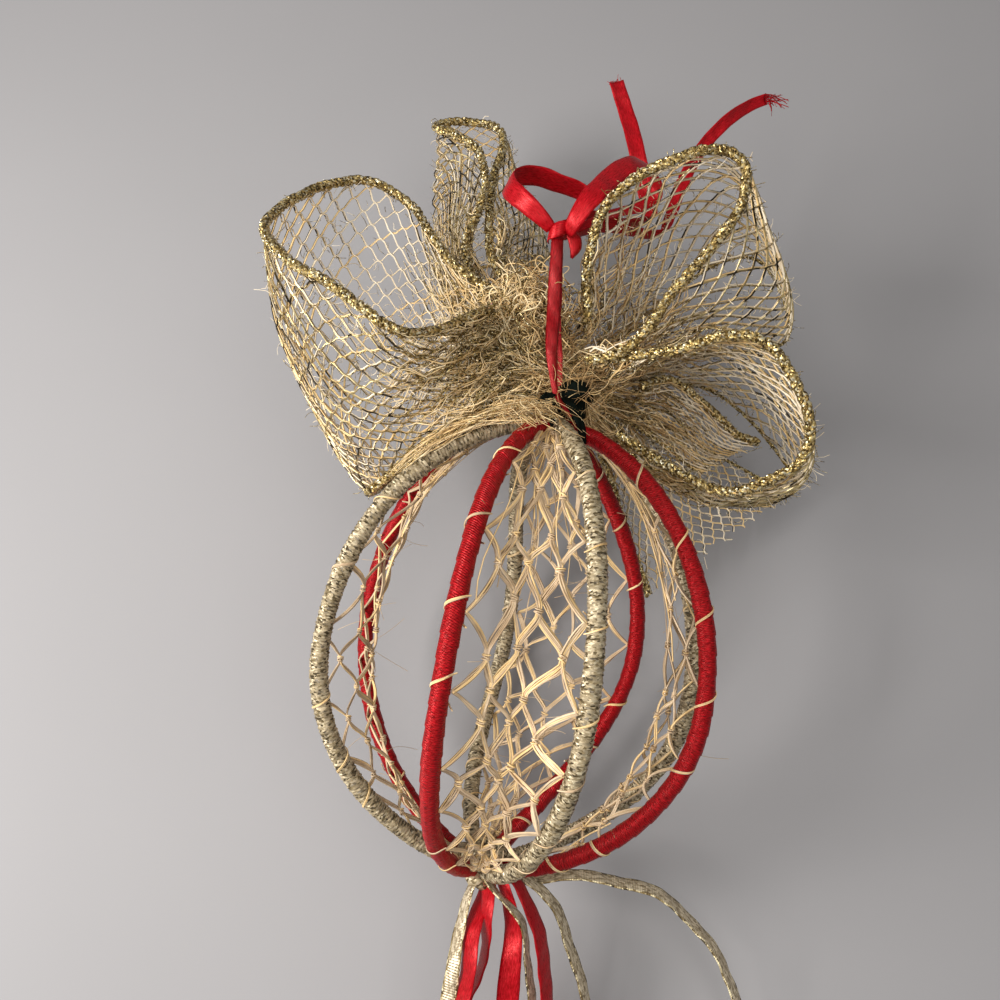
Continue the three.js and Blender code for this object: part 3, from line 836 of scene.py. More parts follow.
def knot(bundle, centre, size):
    """A few turns of fibre pulled tight round the place where two bundles lie side by side."""
    outward = unit(centre * (1, 1, 0.2))
    side = unit(np.cross(outward, (0.1, 0.2, 1)))
    upward = np.cross(outward, side)
    for k in range(3):
        lean = dice.uniform(-0.5, 0.5)
        a = np.linspace(0, TURN, 10)
        turn = side * math.cos(lean) + upward * math.sin(lean)
        ring = centre + np.outer(np.cos(a), turn) * size + np.outer(np.sin(a), outward) * size * 0.6
        ring = ring + upward * (k - 1) * 0.5
        bundle.add(on_globe(ring), dice.uniform(0.22, 0.32) * MM, dice.choice((0, 0, 1)))


def rib_tie(bundle, index, angle, node):
    """A flat bundle that leaves a knot at the net's edge, goes once round the rib and comes back."""
    line, angles = rib_line(index)
    i = int(np.argmin(np.abs(angles - angle)))
    ahead = unit(line[i + 5] - line[i - 5])
    inward = node - line[i]
    inward = unit(inward - ahead * inward.dot(ahead))
    side = np.cross(ahead, inward)
    rise_all = dice.uniform(5.0, 9.0)
    wide = dice.uniform(0.16, 0.30)
    a = np.linspace(0.02, 0.98, 20) * TURN
    reach = RIB_RADIUS + 0.16 + 0.9 * np.exp(-(a / 0.35) ** 2) + 0.9 * np.exp(-((TURN - a) / 0.35) ** 2)
    for k in range(3):
        rise = (a / TURN - 0.5) * rise_all + wide * (k - 1) * np.sin(a / 2) ** 0.5
        ring = np.outer(np.cos(a) * reach, inward) + np.outer(np.sin(a) * reach, side)
        ring = ring + np.outer(rise, ahead)
        bundle.add(on_globe(line[i] + ring), dice.uniform(0.12, 0.18) * MM, dice.choice((0, 1)))


def hair(start, length, curl):
    """A thin stray fibre: a short walk in the same units as its start, turning as it goes."""
    steps = 9
    heading = np.array([dice.gauss(0, 1) for _ in range(3)])
    heading /= np.linalg.norm(heading)
    bend = np.array([dice.gauss(0, 1) for _ in range(3)])
    spots = [np.asarray(start, float)]
    for _ in range(steps):
        heading = heading + bend * curl / steps * 0.5
        heading /= np.linalg.norm(heading)
        spots.append(spots[-1] + heading * length / steps)
    return np.array(spots)


def knot_rows():
    """Where the knots sit, row by row: across, angle, and whether the net meets a rib there."""
    down = np.linspace(0, 1, NET_ROWS)
    angles = np.radians(NET_FIRST + (NET_LAST - NET_FIRST) * (down + 0.05 * np.sin(math.pi * down)))
    rows = []
    for row, angle in enumerate(angles):
        count, shift = (NET_CELLS + 1, 0) if row % 2 == 0 else (NET_CELLS, 0.5)
        knots = []
        for across in (np.arange(count) + shift) / NET_CELLS:
            at_rib = across in (0.0, 1.0)
            aside = dice.uniform(-0.075, 0.075)
            lower = math.radians(dice.uniform(-2.0, 2.0))
            knots.append((across if at_rib else across + aside, angle + lower, at_rib))
        rows.append(knots)
    return rows


def way_down(pair, upper, lower):
    """The middle line of the bundle between a knot and one of the two below it."""
    share = np.linspace(0, 1, 8)
    first = 0.0 if upper[2] else 0.12
    last = 1.0 if lower[2] else 0.88
    sideways = np.clip((share - first) / (last - first), 0, 1)
    if upper[2]:
        eased = sideways * (2 - sideways)
    elif lower[2]:
        eased = sideways**2
    else:
        eased = sideways**2 * (3 - 2 * sideways)
    across = upper[0] + (lower[0] - upper[0]) * (0.6 * sideways + 0.4 * eased)
    angle = upper[1] + (lower[1] - upper[1]) * share
    return net_place(pair, across, angle, dice.uniform(-0.6, 0.9) * np.sin(share * math.pi))


def loose_fibres(bundle, pair):
    """Long fibres that lie loose near the crown and the foot, and short hairs all over the panel."""
    share = np.linspace(0, 1, 14)
    for _ in range(LOOSE_FIBRES):
        across = dice.choice((dice.gauss(0.45, 0.12), dice.uniform(0.1, 0.9)))
        across = across + dice.uniform(-0.2, 0.2) * share
        across = across + 0.035 * np.sin(11 * share + dice.uniform(0, TURN))
        top = dice.random() < 0.6
        first, last = (8, dice.uniform(35, 88)) if top else (dice.uniform(128, 145), 170)
        off = dice.uniform(-1.5, 2.0) * np.sin(math.pi * share)
        line = net_place(pair, np.clip(across, 0.03, 0.97), np.radians(first + (last - first) * share), off)
        bundle.add(on_globe(line), dice.uniform(0.14, 0.26) * MM, dice.choice((0, 1)))
    for _ in range(NET_HAIRS):
        start = net_place(pair, dice.uniform(0.05, 0.95), math.radians(dice.uniform(40, 140)))
        bundle.add(on_globe(hair(start, dice.uniform(6, 14), 3.0)), 0.07 * MM, 0)


def net_panel(number, pair):
    bundle = Bundle()
    rows = knot_rows()
    for row, knots in enumerate(rows):
        below = rows[row + 1] if row + 1 < NET_ROWS else []
        for k, upper in enumerate(knots):
            across, angle, at_rib = upper
            centre = net_place(pair, across, angle)
            if at_rib and 1 < row < NET_ROWS - 2 and dice.random() < TIED_SHARE:
                rib_tie(bundle, pair[0 if across == 0 else 1], angle, centre)
            elif not at_rib:
                knot(bundle, centre, dice.uniform(0.8, 1.05))
            for j in (k - 1, k) if row % 2 == 0 else (k, k + 1):
                if 0 <= j < len(below):
                    fibre_bundle(bundle, way_down(pair, upper, below[j]), dice.uniform(0.26, 0.74))
    loose_fibres(bundle, pair)
    keep(bundle.build(f"fibre_net_{number}", [net_straw, straw_mid]), f"net_panel_{number}")


for number, pair in enumerate(NET_PAIRS, start=1):
    net_panel(number, pair)

# %% [markdown]
# The bow's ribbon is an open mesh, about 70 mm wide. Its surface is a smooth curve through three
# rails, the same as in the CAD model: one open edge, the middle and the other edge. Strands run
# across it both ways, laid out on the flat ribbon in millimetres, then carried to the surface.
# The surface is wider than the flat ribbon where the left and right loops stand open and narrower
# elsewhere, and the cells stretch or squeeze with it. Near the tie it also falls into small pleats.

# %% Mesh ribbon rails
BOW = {
    "bow_loop_left": (
        [[-16.5, 16, -12.5], [-28, 24, -0.5], [-41, 31, 15.5], [-54.5, 30, 21.5], [-67.5, 20, 15],
         [-74, -2, 0], [-64.5, -16, -12.5], [-52, -24, -20.5], [-39, -26, -29], [-29, -18, -28.5],
         [-17, 2, -18]],
        [[-13.5, 22, -26], [-27, 34, -23.5], [-41.5, 40, -19], [-57.5, 38, -18.5], [-67.5, 26, -25],
         [-67, 10, -37.5], [-57.5, -2, -45], [-47.5, -10, -46], [-36.5, -12, -44.5], [-25, -8, -39.5],
         [-13, 4, -31]],
        [[-9, 24, -38], [-21, 36, -46], [-34, 42, -55.5], [-42, 40, -62.5], [-46.5, 32, -66.5],
         [-47, 22, -67], [-43, 14, -64.5], [-36.5, 10, -60], [-29.5, 7, -55.5], [-18, 3, -49.5],
         [-8.5, 2, -43]]),
    "bow_loop_back": (
        [[-19, 28, -7], [-24, 34, 9.5], [-20.5, 42, 26], [-23.5, 50, 39], [-31.5, 56, 46],
         [-37.5, 62, 50], [-30, 68, 54.5], [-21, 66, 53], [-16.5, 58, 44], [-18.5, 46, 26], [-17.5, 36, 8],
         [-15, 28, -5]],
        [[-17, 34, -11], [-26, 44, 1.5], [-29.5, 52, 19.5], [-33, 62, 30], [-36, 68, 33.5],
         [-37.5, 74, 33.5], [-27, 80, 37.5], [-13, 78, 39.5], [-8.5, 68, 33], [-9.5, 54, 18],
         [-12.5, 40, 3], [-11.5, 32, -11.5]],
        [[-13.5, 38, -17.5], [-25.5, 50, -11.5], [-31, 62, -5], [-33.5, 72, 0], [-35, 78, 4.5],
         [-35.5, 84, 7.5], [-22, 90, 12.5], [-5, 86, 14.5], [0.5, 72, 13.5], [-2.5, 56, 5],
         [-6.5, 42, -7.5], [-8.5, 36, -19]]),
    "bow_loop_right_upper": (
        [[7, 10, -19], [8.5, 4, -8], [11, -4, 5], [19, -10, 15], [32.5, -14, 19.5], [43.5, -14, 16.5],
         [43.5, -14, 6.5], [36.5, -12, -4.5], [28, -8, -15], [19.5, -3, -25.5], [9, 2, -30.5]],
        [[11.5, 20, -22], [16.5, 22, -11.5], [24.5, 24, 3], [37.5, 24, 18], [51.5, 24, 21.5],
         [60, 20, 8.5], [62, 14, -6.5], [51.5, 10, -13.5], [39.5, 8, -18.5], [28, 8, -24.5],
         [13.5, 8, -29.5]],
        [[16.5, 28, -23.5], [27.5, 38, -14], [37.5, 46, -3.5], [50.5, 54, 9], [65.5, 58, 11.5],
         [74, 50, -4.5], [72, 42, -15], [63.5, 34, -19.5], [49.5, 26, -21.5], [35, 20, -25],
         [17.5, 16, -29]]),
    "bow_loop_right_lower": (
        [[15, 6, -32], [23.5, -4, -28.5], [34.5, -12, -25.5], [44.5, -18, -25.5], [54, -22, -32],
         [61, -22, -46], [59.5, -18, -55.5], [48.5, -12, -61], [39, -6, -60], [28.5, 0, -55.5],
         [17.5, 5, -50]],
        [[15.5, 14, -32.5], [26.5, 16, -29], [39.5, 18, -25.5], [52, 18, -26], [63.5, 16, -34],
         [71.5, 14, -49], [68.5, 10, -59], [55.5, 10, -64], [43.5, 10, -63], [30, 10, -57],
         [18, 12, -50.5]],
        [[16.5, 24, -33], [28, 36, -29.5], [43, 46, -29.5], [55.5, 52, -32.5], [66, 54, -39],
         [77.5, 50, -53.5], [75, 40, -60.5], [61.5, 34, -64], [47.5, 28, -63.5], [32, 22, -57.5],
         [18.5, 20, -50]]),
    "bow_tail_low": (
        [[13, 26, -38.5], [18, 34, -51.5], [24, 42, -67], [30, 48, -80.5], [37.5, 54, -95]],
        [[16, 30, -37], [27, 40, -47.5], [40.5, 50, -60], [50, 55, -70.5], [60, 58, -78]],
        [[20, 34, -35], [36.5, 48, -42], [56, 58, -49.5], [71.5, 62, -56], [83, 62, -60.5]]),
    "bow_tail_inner": (
        [[26, 24, -33], [36, 28, -31.5], [45.5, 32, -36], [56.5, 36, -44], [64.5, 38, -46.5]],
        [[25, 27, -37.5], [33, 31, -38.5], [42, 35, -43.5], [50.5, 38, -50], [57, 40, -52]],
        [[23.5, 30, -42.5], [30, 34, -45.5], [38.5, 38, -50], [45, 40, -54.5], [49.5, 42, -55.5]]),
}
RIBBON_WIDTH = 70.0
TIE_POINT = np.array((-1.0, 9.0, -34.0))


class MeshRibbon:
    """One loop or tail of the mesh ribbon, with its lengths in millimetres."""

    def __init__(self, name):
        self.name = name
        self.rails = BOW[name]
        at = np.linspace(0, 1, 400)
        middle = smooth_places(self.rails[1], at)
        run = run_of(middle)
        self.length = run[-1]
        self.at, self.run = at, run
        self.loop = "loop" in name
        self.phase = dice.uniform(0, TURN)
        outward = self.plain([0.5], 0.5)[0] - middle.mean(0)
        self.hand = 1.0 if self.square_to([0.5], 0.5, step=0.02)[0].dot(outward) > 0 else -1.0

    def plain(self, share, across):
        """The smooth surface through the three rails, without pleats or waves."""
        a, m, b = (smooth_places(rail, share) for rail in self.rails)
        across = np.asarray(across).reshape(-1, 1)
        first = (1 - across) * (1 - 2 * across)
        middle = 4 * across * (1 - across)
        last = across * (2 * across - 1)
        return a * first + m * middle + b * last

    def square_to(self, share, across, step=0.004):
        """The direction square to the ribbon at each place."""
        share, across = np.asarray(share), np.asarray(across)
        ahead = self.plain(share + step, across) - self.plain(share - step, across)
        over = (self.plain(share, np.minimum(across + step, 1))
                - self.plain(share, np.maximum(across - step, 0)))
        return unit(np.cross(ahead, over))

    def place(self, x, across, lift=0.0):
        """x is how far along the ribbon's middle, across 0 to 1, lift how far off on the outside."""
        share = np.interp(x, self.run, self.at)
        across = np.asarray(across, float)
        ends = np.exp(-x / 16) + (np.exp(-(self.length - x) / 16) if self.loop else 0)
        pleats = 2.6 * ends * np.sin(TURN * 4.5 * across + self.phase + x / 9)
        waves = 0.55 * np.sin(x / 8 + 7 * across + self.phase) + 0.35 * np.sin(x / 5 - 11 * across)
        off = (pleats + waves + lift).reshape(-1, 1)
        return self.plain(share, across) + self.square_to(share, across) * self.hand * off


ribbons = {name: MeshRibbon(name) for name in BOW}
print({name: round(r.length) for name, r in ribbons.items()}, "mm along the middle")

# %% [markdown]
# Each strand of the mesh is a pale fibre that crosses the ribbon slantwise. Most also carry a narrow
# strip of metal film on the outer side, which looks dark where it mirrors the room and gold where it
# catches the light; its colour paints both, as painted reflection and painted glint. Short ends of
# both stand off all over. They are a piece of their own, apart from the strands of each loop and tail.

# %% Mesh strands
# The wider a piece is pulled open, the further apart its strands are along it.
STRAND_STEPS = {"bow_loop_left": 6.4, "bow_loop_back": 7.6, "bow_loop_right_upper": 8.2,
                "bow_loop_right_lower": 7.2, "bow_tail_low": 5.4, "bow_tail_inner": 5.0}
MESH_HAIRS = 6.0  # to each millimetre along the ribbon
STRAND_SLOPE = math.tan(math.radians(41))
STRAND_RADIUS = 0.29  # at the usual distance between strands
USUAL_STEP, WIDE_STEP = 6.4, 8.2
FILM_RADIUS, THIN_FILM_RADIUS = 0.27, 0.17
STRAND_LIFT, FILM_LIFT = 0.18, 0.40  # off the ribbon's middle, where strands cross and film lies on them
GATHERED_RUN = 30.0  # this near the tie the film takes the bright gold finish instead of the dark one: partly crumpled film that glitters, partly painted light that lifts the shade there
DARK_FILM, GOLD_FILM = 2, 3  # their places in the list of the ribbon's materials


def slanting_strand(ribbon, start, rising, apart):
    """One strand on the flat ribbon as x and y in millimetres. It lies level along the ribbon where
    it meets the strands that cross it, which makes the cells six-sided. Where the mesh is pulled
    wider it does so less, and the cells are nearly diamonds."""
    level = np.interp(apart, (USUAL_STEP, WIDE_STEP), (0.85, 0.25))
    half = apart * STRAND_SLOPE / 2
    rows = math.ceil(RIBBON_WIDTH / 2 / half)
    t = np.arange(-rows, rows, 0.5) + 0.25
    straight = RIBBON_WIDTH / 2 + half * t
    y = np.clip(straight - half * level * np.sin(TURN * t) / TURN, 0, RIBBON_WIDTH)
    x = start + (straight if rising else RIBBON_WIDTH - straight) / STRAND_SLOPE
    kept = (x >= 0) & (x <= ribbon.length) & (straight > -half) & (straight < RIBBON_WIDTH + half)
    return x[kept], y[kept]


def saw_tooth_end(ribbon, x, y):
    """The tails are cut across in a zigzag: strands past the cut are dropped."""
    return x < ribbon.length - 2.2 * np.abs(((y / 5.5) % 2) - 1)


def uneven_strand(ribbon, start, rising, apart):
    """A strand cut to the ribbon and made a little wavy, or nothing where too little of it is left."""
    x, y = slanting_strand(ribbon, start + dice.uniform(-0.4, 0.4), rising, apart)
    if not ribbon.loop:
        kept = saw_tooth_end(ribbon, x, y)
        x, y = x[kept], y[kept]
    if len(x) < 3:
        return None
    x = np.clip(x + 0.4 * np.sin(y / 4.1 + dice.uniform(0, TURN)), 0, ribbon.length)
    return x, y / RIBBON_WIDTH


def add_film(bundle, ribbon, x, across):
    """The film on a strand, in one finish near the tie and in another further out."""
    film = ribbon.place(x, across, FILM_LIFT)
    gathered = (x < GATHERED_RUN) | (ribbon.loop & (x > ribbon.length - GATHERED_RUN))
    changes = [0, *np.flatnonzero(np.diff(gathered)) + 1, len(x)]
    for first, last in zip(changes, changes[1:]):
        if last - first > 1:
            finish = GOLD_FILM if gathered[first] else DARK_FILM
            bundle.add(film[first:last + 1] * MM, FILM_RADIUS * MM, finish)


def mesh_strands(ribbon):
    bundle = Bundle()
    apart = STRAND_STEPS[ribbon.name]
    thick = STRAND_RADIUS * math.sqrt(apart / USUAL_STEP)
    starts = np.arange(-RIBBON_WIDTH / STRAND_SLOPE, ribbon.length, apart)
    for rising in (True, False):
        for k, start in enumerate(starts):
            strand = uneven_strand(ribbon, start, rising, apart)
            if strand is None:
                continue
            x, across = strand
            line = ribbon.place(x, across, STRAND_LIFT if rising else -STRAND_LIFT)
            bundle.add(line * MM, thick * dice.uniform(0.8, 1.15) * MM, dice.choice((0, 0, 1)))
            if rising or k % 3 == 0:
                add_film(bundle, ribbon, x, across)
            else:
                thin = ribbon.place(x + 0.25, across, FILM_LIFT)
                bundle.add(thin * MM, THIN_FILM_RADIUS * MM, GOLD_FILM)
    return bundle.build(ribbon.name + "_mesh", [mesh_pale, straw_mid, film_dark, cord_gold])


def mesh_fuzz():
    """Short ends of fibre and film that stand off all over the ribbon, as one piece."""
    bundle = Bundle()
    for ribbon in ribbons.values():
        for _ in range(round(ribbon.length * MESH_HAIRS)):
            spot = ribbon.place(np.full(1, dice.uniform(0, ribbon.length)), np.full(1, dice.random()))[0]
            bundle.add(hair(spot, dice.uniform(1.5, 5.0), 4.0)[::3] * MM, dice.uniform(0.05, 0.11) * MM,
                       dice.choice((0, 1)))
    return bundle.build("mesh_fuzz", [mesh_pale, cord_gold])


mesh_pale = plant_fibre("mesh_fibre", (0.70, 0.56, 0.37), (0.92, 0.82, 0.64), roughness=0.40)
for name, ribbon in ribbons.items():
    piece = mesh_strands(ribbon)
    keep(piece, name)
keep(mesh_fuzz())

# %% [markdown]
# Along both edges of the ribbon runs a cord of three plies of glitter yarn, with short ends of film
# sticking out of it. The plies are three helices round the edge line, each with its own wobble. On
# the edges that face away the cord is thinner. A single tube with a twisted pattern would look
# round and even at its outline, where a real cord is knobbly.

# %% Edge cords
CORD_STEP = 0.75
PLY_RADIUS = 0.78
PLY_OFFSET = 0.66
PLY_PITCH = 6.5
THIN_EDGE = 0.42  # of the full cord, on the edges that carry a plain one
FULL_CORDS = {("bow_loop_left", 2), *((name, 1) for name in BOW)}


def edge_cord(ribbon, across, number, full):
    coarse = ribbon.place(np.linspace(0.5, ribbon.length - 0.5, 500), np.full(500, float(across)))
    run = run_of(coarse)
    wanted = np.linspace(0, run[-1], round(run[-1] / CORD_STEP))
    line = places_at(coarse, run, wanted)
    side, other = carried_sides(line)
    bundle = Bundle()
    size = 1.0 if full else THIN_EDGE
    for ply in range(3):
        phase = TURN * ply / 3 + 0.5 * np.sin(wanted / 7 + ply)
        a = (TURN * wanted / PLY_PITCH + phase)[:, None]
        wobble = (size * PLY_OFFSET * (1 + 0.25 * np.sin(wanted / 1.7 + 2 * ply)))[:, None]
        bundle.add((line + (side * np.cos(a) + other * np.sin(a)) * wobble) * MM, size * PLY_RADIUS * MM, 0)
    for _ in range(round(run[-1] * 1.1)):
        i = dice.randrange(len(line))
        a = dice.uniform(0, TURN)
        start = line[i] + (side[i] * math.cos(a) + other[i] * math.sin(a)) * 1.1 * size
        bundle.add(hair(start, dice.uniform(0.9, 2.6), 4.0)[::3] * MM, dice.uniform(0.07, 0.13) * MM, 0)
    piece = bundle.build(f"{ribbon.name}_cord_{number}", [cord_gold], sides=CORD_SIDES)
    keep(piece)
    print(ribbon.name, "edge cord", number, round(run[-1]), "mm")
    return piece


for name, ribbon in ribbons.items():
    for number, across in enumerate((0, 1), start=1):
        edge_cord(ribbon, across, number, (name, number) in FULL_CORDS)

# %% [markdown]
# Each loop and tail was cut to a flat size: the ribbon's width and the length of its middle, which
# are printed here. The export compares that with the area of the mesh. Here it adds up the
# surfaces of all the strands, so it says little about how wide or long the open ribbon is.

for name, ribbon in ribbons.items():
    width, length = RIBBON_WIDTH * MM, ribbon.length * MM
    print(name, "flat size", round(width / MM), "by", round(length / MM), "mm")

# %% [markdown]
# The tuft in the middle of the bow is a tangle of curly fibre. Its fibres start in an egg-shaped
# cloud and curl back on themselves, over a lumpy heart that closes the gaps and is dark brown as
# painted shade inside the tuft. Fibres on the tuft's right take darker tones, as painted shade.
# Round it the ribbon is bunched up, so that its strands lie close together: longer fibres follow the
# ribbon's surface from the tie outwards, paler from the lit left and back loops and darker from the
# others, as painted shade. Particle hair could make both, but lines worked out here can be steered
# fibre by fibre, and one seeded dice makes them alike each run.

# %% Tuft
TUFT_CENTRE = np.array((-3.4, 14.0, -22.8))
TUFT_RADII = np.array((9.0, 8.0, 15.0))
TUFT_FIBRES = 1700
TUFT_TONES, SHADED_TONES = (4, 5, 1, 4), (0, 2, 9, 2)  # shares of pale, middle, brown and gold
GATHERED = {"bow_loop_left": 260, "bow_loop_back": 60}  # fibres from each end
GATHERED_ELSEWHERE = 95
LIT_RIBBON_TONES, SHADED_RIBBON_TONES = (8, 6, 0, 9), (2, 4, 5, 4)
ZIGZAG = 0.020  # of the ribbon's width


def curly(start, length, curl):
    """A fibre that winds on itself like a shaving."""
    steps = 12
    heading = unit(np.array([dice.gauss(0, 1) for _ in range(3)]))
    axis = unit(np.array([dice.gauss(0, 1) for _ in range(3)]))
    spots = [start]
    for _ in range(steps):
        heading = unit(heading + np.cross(axis, heading) * curl / steps)
        axis = unit(axis + 0.25 * np.array([dice.gauss(0, 1) for _ in range(3)]))
        spots.append(spots[-1] + heading * length / steps)
    return np.array(spots)


def tuft():
    bundle = Bundle()
    for _ in range(TUFT_FIBRES):
        ball = np.array([dice.gauss(0, 1) for _ in range(3)])
        ball = ball / np.linalg.norm(ball) * dice.uniform(0.3, 1.15)
        start = TUFT_CENTRE + ball * TUFT_RADII * (1.25, 1.0, 1.1) + (-2.5, -2.0, 0)
        tones = TUFT_TONES if start[0] < 0 else SHADED_TONES
        bundle.add(curly(start, dice.uniform(6, 16), dice.uniform(3.0, 9.0)) * MM,
                   dice.uniform(0.10, 0.25) * MM, dice.choices((0, 1, 2, 3), tones)[0], taper=True)
    piece = bundle.build("curly_tuft", [straw_pale, straw_mid, straw_brown, cord_gold])
    keep(piece, "bow_tuft")


def gathered_fibres():
    """Fibres of the ribbon that the tie has bunched up, from the tie out along every loop and tail."""
    bundle = Bundle()
    for ribbon in ribbons.values():
        tones = LIT_RIBBON_TONES if ribbon.name in GATHERED else SHADED_RIBBON_TONES
        for end in (0.0, 1.0) if ribbon.loop else (0.0,):
            for _ in range(GATHERED.get(ribbon.name, GATHERED_ELSEWHERE)):
                out = np.linspace(0, dice.uniform(5, 38), 12)
                x = out if end == 0 else ribbon.length - out
                across = dice.random() + dice.uniform(-0.5, 0.5) * np.linspace(0, 1, 12) ** 2
                across = np.clip(across + ZIGZAG * np.cos(math.pi * np.arange(12)), 0.0, 1.0)
                lift = dice.uniform(-1.2, 1.6) + 1.1 * np.sin(x / 2.3 + dice.uniform(0, TURN))
                line = ribbon.place(x, across, lift)
                pull = TIE_POINT + np.array([dice.gauss(0, 3) for _ in range(3)])
                line = np.vstack([pull, (pull + line[0]) / 2 + [dice.gauss(0, 1) for _ in range(3)], line])
                bundle.add(smooth_places(line, np.linspace(0, 1, 15)) * MM, dice.uniform(0.10, 0.24) * MM,
                           dice.choices((0, 1, 2, 3), tones)[0], taper=True)
    piece = bundle.build("gathered_fibres", [straw_pale, straw_mid, straw_brown, cord_gold])
    keep(piece)


def tuft_heart():
    bm = bmesh.new()
    bmesh.ops.create_icosphere(bm, subdivisions=4, radius=1.0)
    for corner in bm.verts:
        n = np.array(corner.co)
        lump = 1 + 0.12 * math.sin(7 * n[0] + 3 * n[2]) + 0.10 * math.sin(9 * n[1] - 5 * n[2] + 1)
        corner.co = Vector((TUFT_CENTRE + (1, 1, -3) + n * TUFT_RADII * (0.80, 0.75, 0.90) * lump) * MM)
    for face in bm.faces:
        face.smooth = True
    keep(into_object(bm, "tuft_heart", heart_finish))


heart_finish = plant_fibre("tuft_shadow", (0.15, 0.095, 0.042), (0.40, 0.28, 0.14), roughness=0.7)
tuft()
gathered_fibres()
tuft_heart()

# %% [markdown]
# At the crown a dark tape holds the ribs, the bow and the hanging ribbon together. It is wound a few
# times round. A plain ring would hide that, so it is one long strip carried round as a screw thread,
# which a Solidify modifier then makes thick.

# %% Crown binding
CROWN_BAND_MIDDLE = 61.6
CROWN_BAND_RADIUS = 6.1
BAND_TAPE_WIDTH = 3.4
TAPE_RISE = 2.8  # from the first turn to the last
TAPE_TURNS = 4
TAPE_CELLS = (160, 5)


def crown_tape():
    def place(along, across):
        a = along * TURN * TAPE_TURNS
        radius = CROWN_BAND_RADIUS + 0.25 * np.sin(3 * a + 1) + 0.3 * along
        radius = radius + 0.25 * np.sin(across * math.pi)
        height = CROWN_BAND_MIDDLE - 2.4 + TAPE_RISE * along + (across - 0.5) * BAND_TAPE_WIDTH
        height = height + 0.5 * np.sin(a + 2)
        return on_globe(around(radius, a, height))

    size = (TURN * 6 * TAPE_TURNS * MM, BAND_TAPE_WIDTH * MM)
    piece = shaped_grid("crown_tape", TAPE_CELLS, place, size, tape_finish)
    wall = piece.modifiers.new("thickness", "SOLIDIFY")
    wall.thickness = 0.3 * MM
    keep(piece, "crown_binding")


crown_tape()

# %% [markdown]
# Between the tuft and the ribs the same tape is wound round the bow's gathered ends. It makes a dark
# lumpy neck, and brown fibres stray over it. Little of it shows, so a rolled grid pushed out into an
# uneven egg does for the tape, and curly fibres cover part of it.

# %% Tape neck
NECK_CENTRE = np.array((6.0, 3.2, -41.4))
NECK_RADII = np.array((5.2, 5.0, 6.0))
NECK_FIBRES = 260


def tape_neck():
    def place(along, across):
        turn, rise = across * TURN, along * 2 - 1
        width = np.sqrt(np.maximum(1 - rise**2, 0.0)) ** 0.7
        lump = 1 + 0.10 * np.sin(2 * turn + 5 * rise) + 0.05 * np.sin(9 * rise + turn)
        flat = np.stack([np.cos(turn) * width * lump, np.sin(turn) * width * lump, rise], 1)
        return (NECK_CENTRE + flat * NECK_RADII + np.outer(rise, (0.9, -0.9, 0))) * MM

    piece = shaped_grid("tape_neck", (26, 24), place, (13 * MM, 34 * MM), tape_finish, rolled=True)
    keep(piece)
    bundle = Bundle()
    for _ in range(NECK_FIBRES):
        ball = unit(np.array([dice.gauss(0, 1) for _ in range(3)]))
        start = NECK_CENTRE + ball * NECK_RADII * dice.uniform(0.95, 1.2)
        line = curly(start, dice.uniform(6, 16), dice.uniform(1.5, 5.0))
        bundle.add(line * MM, dice.uniform(0.05, 0.12) * MM, dice.choice((1, 2, 2, 2)), taper=True)
    keep(bundle.build("neck_fibres", [straw_pale, straw_mid, straw_brown]))


tape_neck()

# %% [markdown]
# Fibres that have worked loose from the bow hang over the tops of the left ribs. Some fan out from
# the crown, and more lie along the gold rib and half hide it. They are worked out from the ribs' own
# outline, a little outside it, so most of them lie on the ribs or just above them.

# %% Fibres over the ribs
DRAPED_FIBRES = 230
DRAPED_FROM, DRAPED_TO = 262, 352  # degrees round the globe
COVERED_RIB = 6  # its place in the list of ribs
COVERING_FIBRES = 330


def draped_fibres():
    bundle = Bundle()
    for _ in range(DRAPED_FIBRES):
        share = np.linspace(0, 1, 12)
        turn = math.radians(dice.uniform(DRAPED_FROM, DRAPED_TO)) + dice.uniform(-0.7, 0.7) * share**2
        turn = turn + dice.uniform(0.05, 0.16) * np.sin(dice.uniform(4, 10) * share + dice.uniform(0, TURN))
        radius, height = profile(np.radians(dice.uniform(4, 9) + dice.uniform(6, 19) * share), 1.0)
        lift = RIB_RADIUS + dice.uniform(0.3, 3.6) + dice.uniform(-1.0, 1.6) * np.sin(share * math.pi)
        line = around(radius + 0.4 * lift, turn, height + lift)
        bundle.add(on_globe(line), dice.uniform(0.05, 0.13) * MM, dice.choice((0, 1, 1, 2, 3)), taper=True)
    for _ in range(COVERING_FIBRES):
        share = np.linspace(0, 1, 12)
        angle = np.radians(6 + 30 * dice.random() ** 1.4 + dice.uniform(5, 16) * share)
        radius, height = profile(angle, RIBS[COVERED_RIB][2])
        aside = dice.uniform(-2.6, 4.0) + dice.uniform(-3, 3) * share
        aside = aside + np.sin(dice.uniform(3, 9) * share + dice.uniform(0, TURN))
        lift = RIB_RADIUS + dice.uniform(0.2, 2.4) + dice.uniform(-0.4, 1.2) * np.sin(share * math.pi)
        turn = rib_turn(COVERED_RIB, angle) + aside / radius
        line = around(radius + 0.6 * lift, turn, height + 0.8 * lift)
        bundle.add(on_globe(line), dice.uniform(0.06, 0.16) * MM,
                   dice.choices((0, 1, 2, 3), (3, 6, 2, 4))[0], taper=True)
    piece = bundle.build("draped_fibres", [straw_pale, straw_mid, straw_brown, cord_gold])
    keep(piece)


draped_fibres()

# %% [markdown]
# Two short ends of the tape stand off from the crown. Each is a flat ribbon on a route, like the
# hanging ribbon, but matt and narrow.

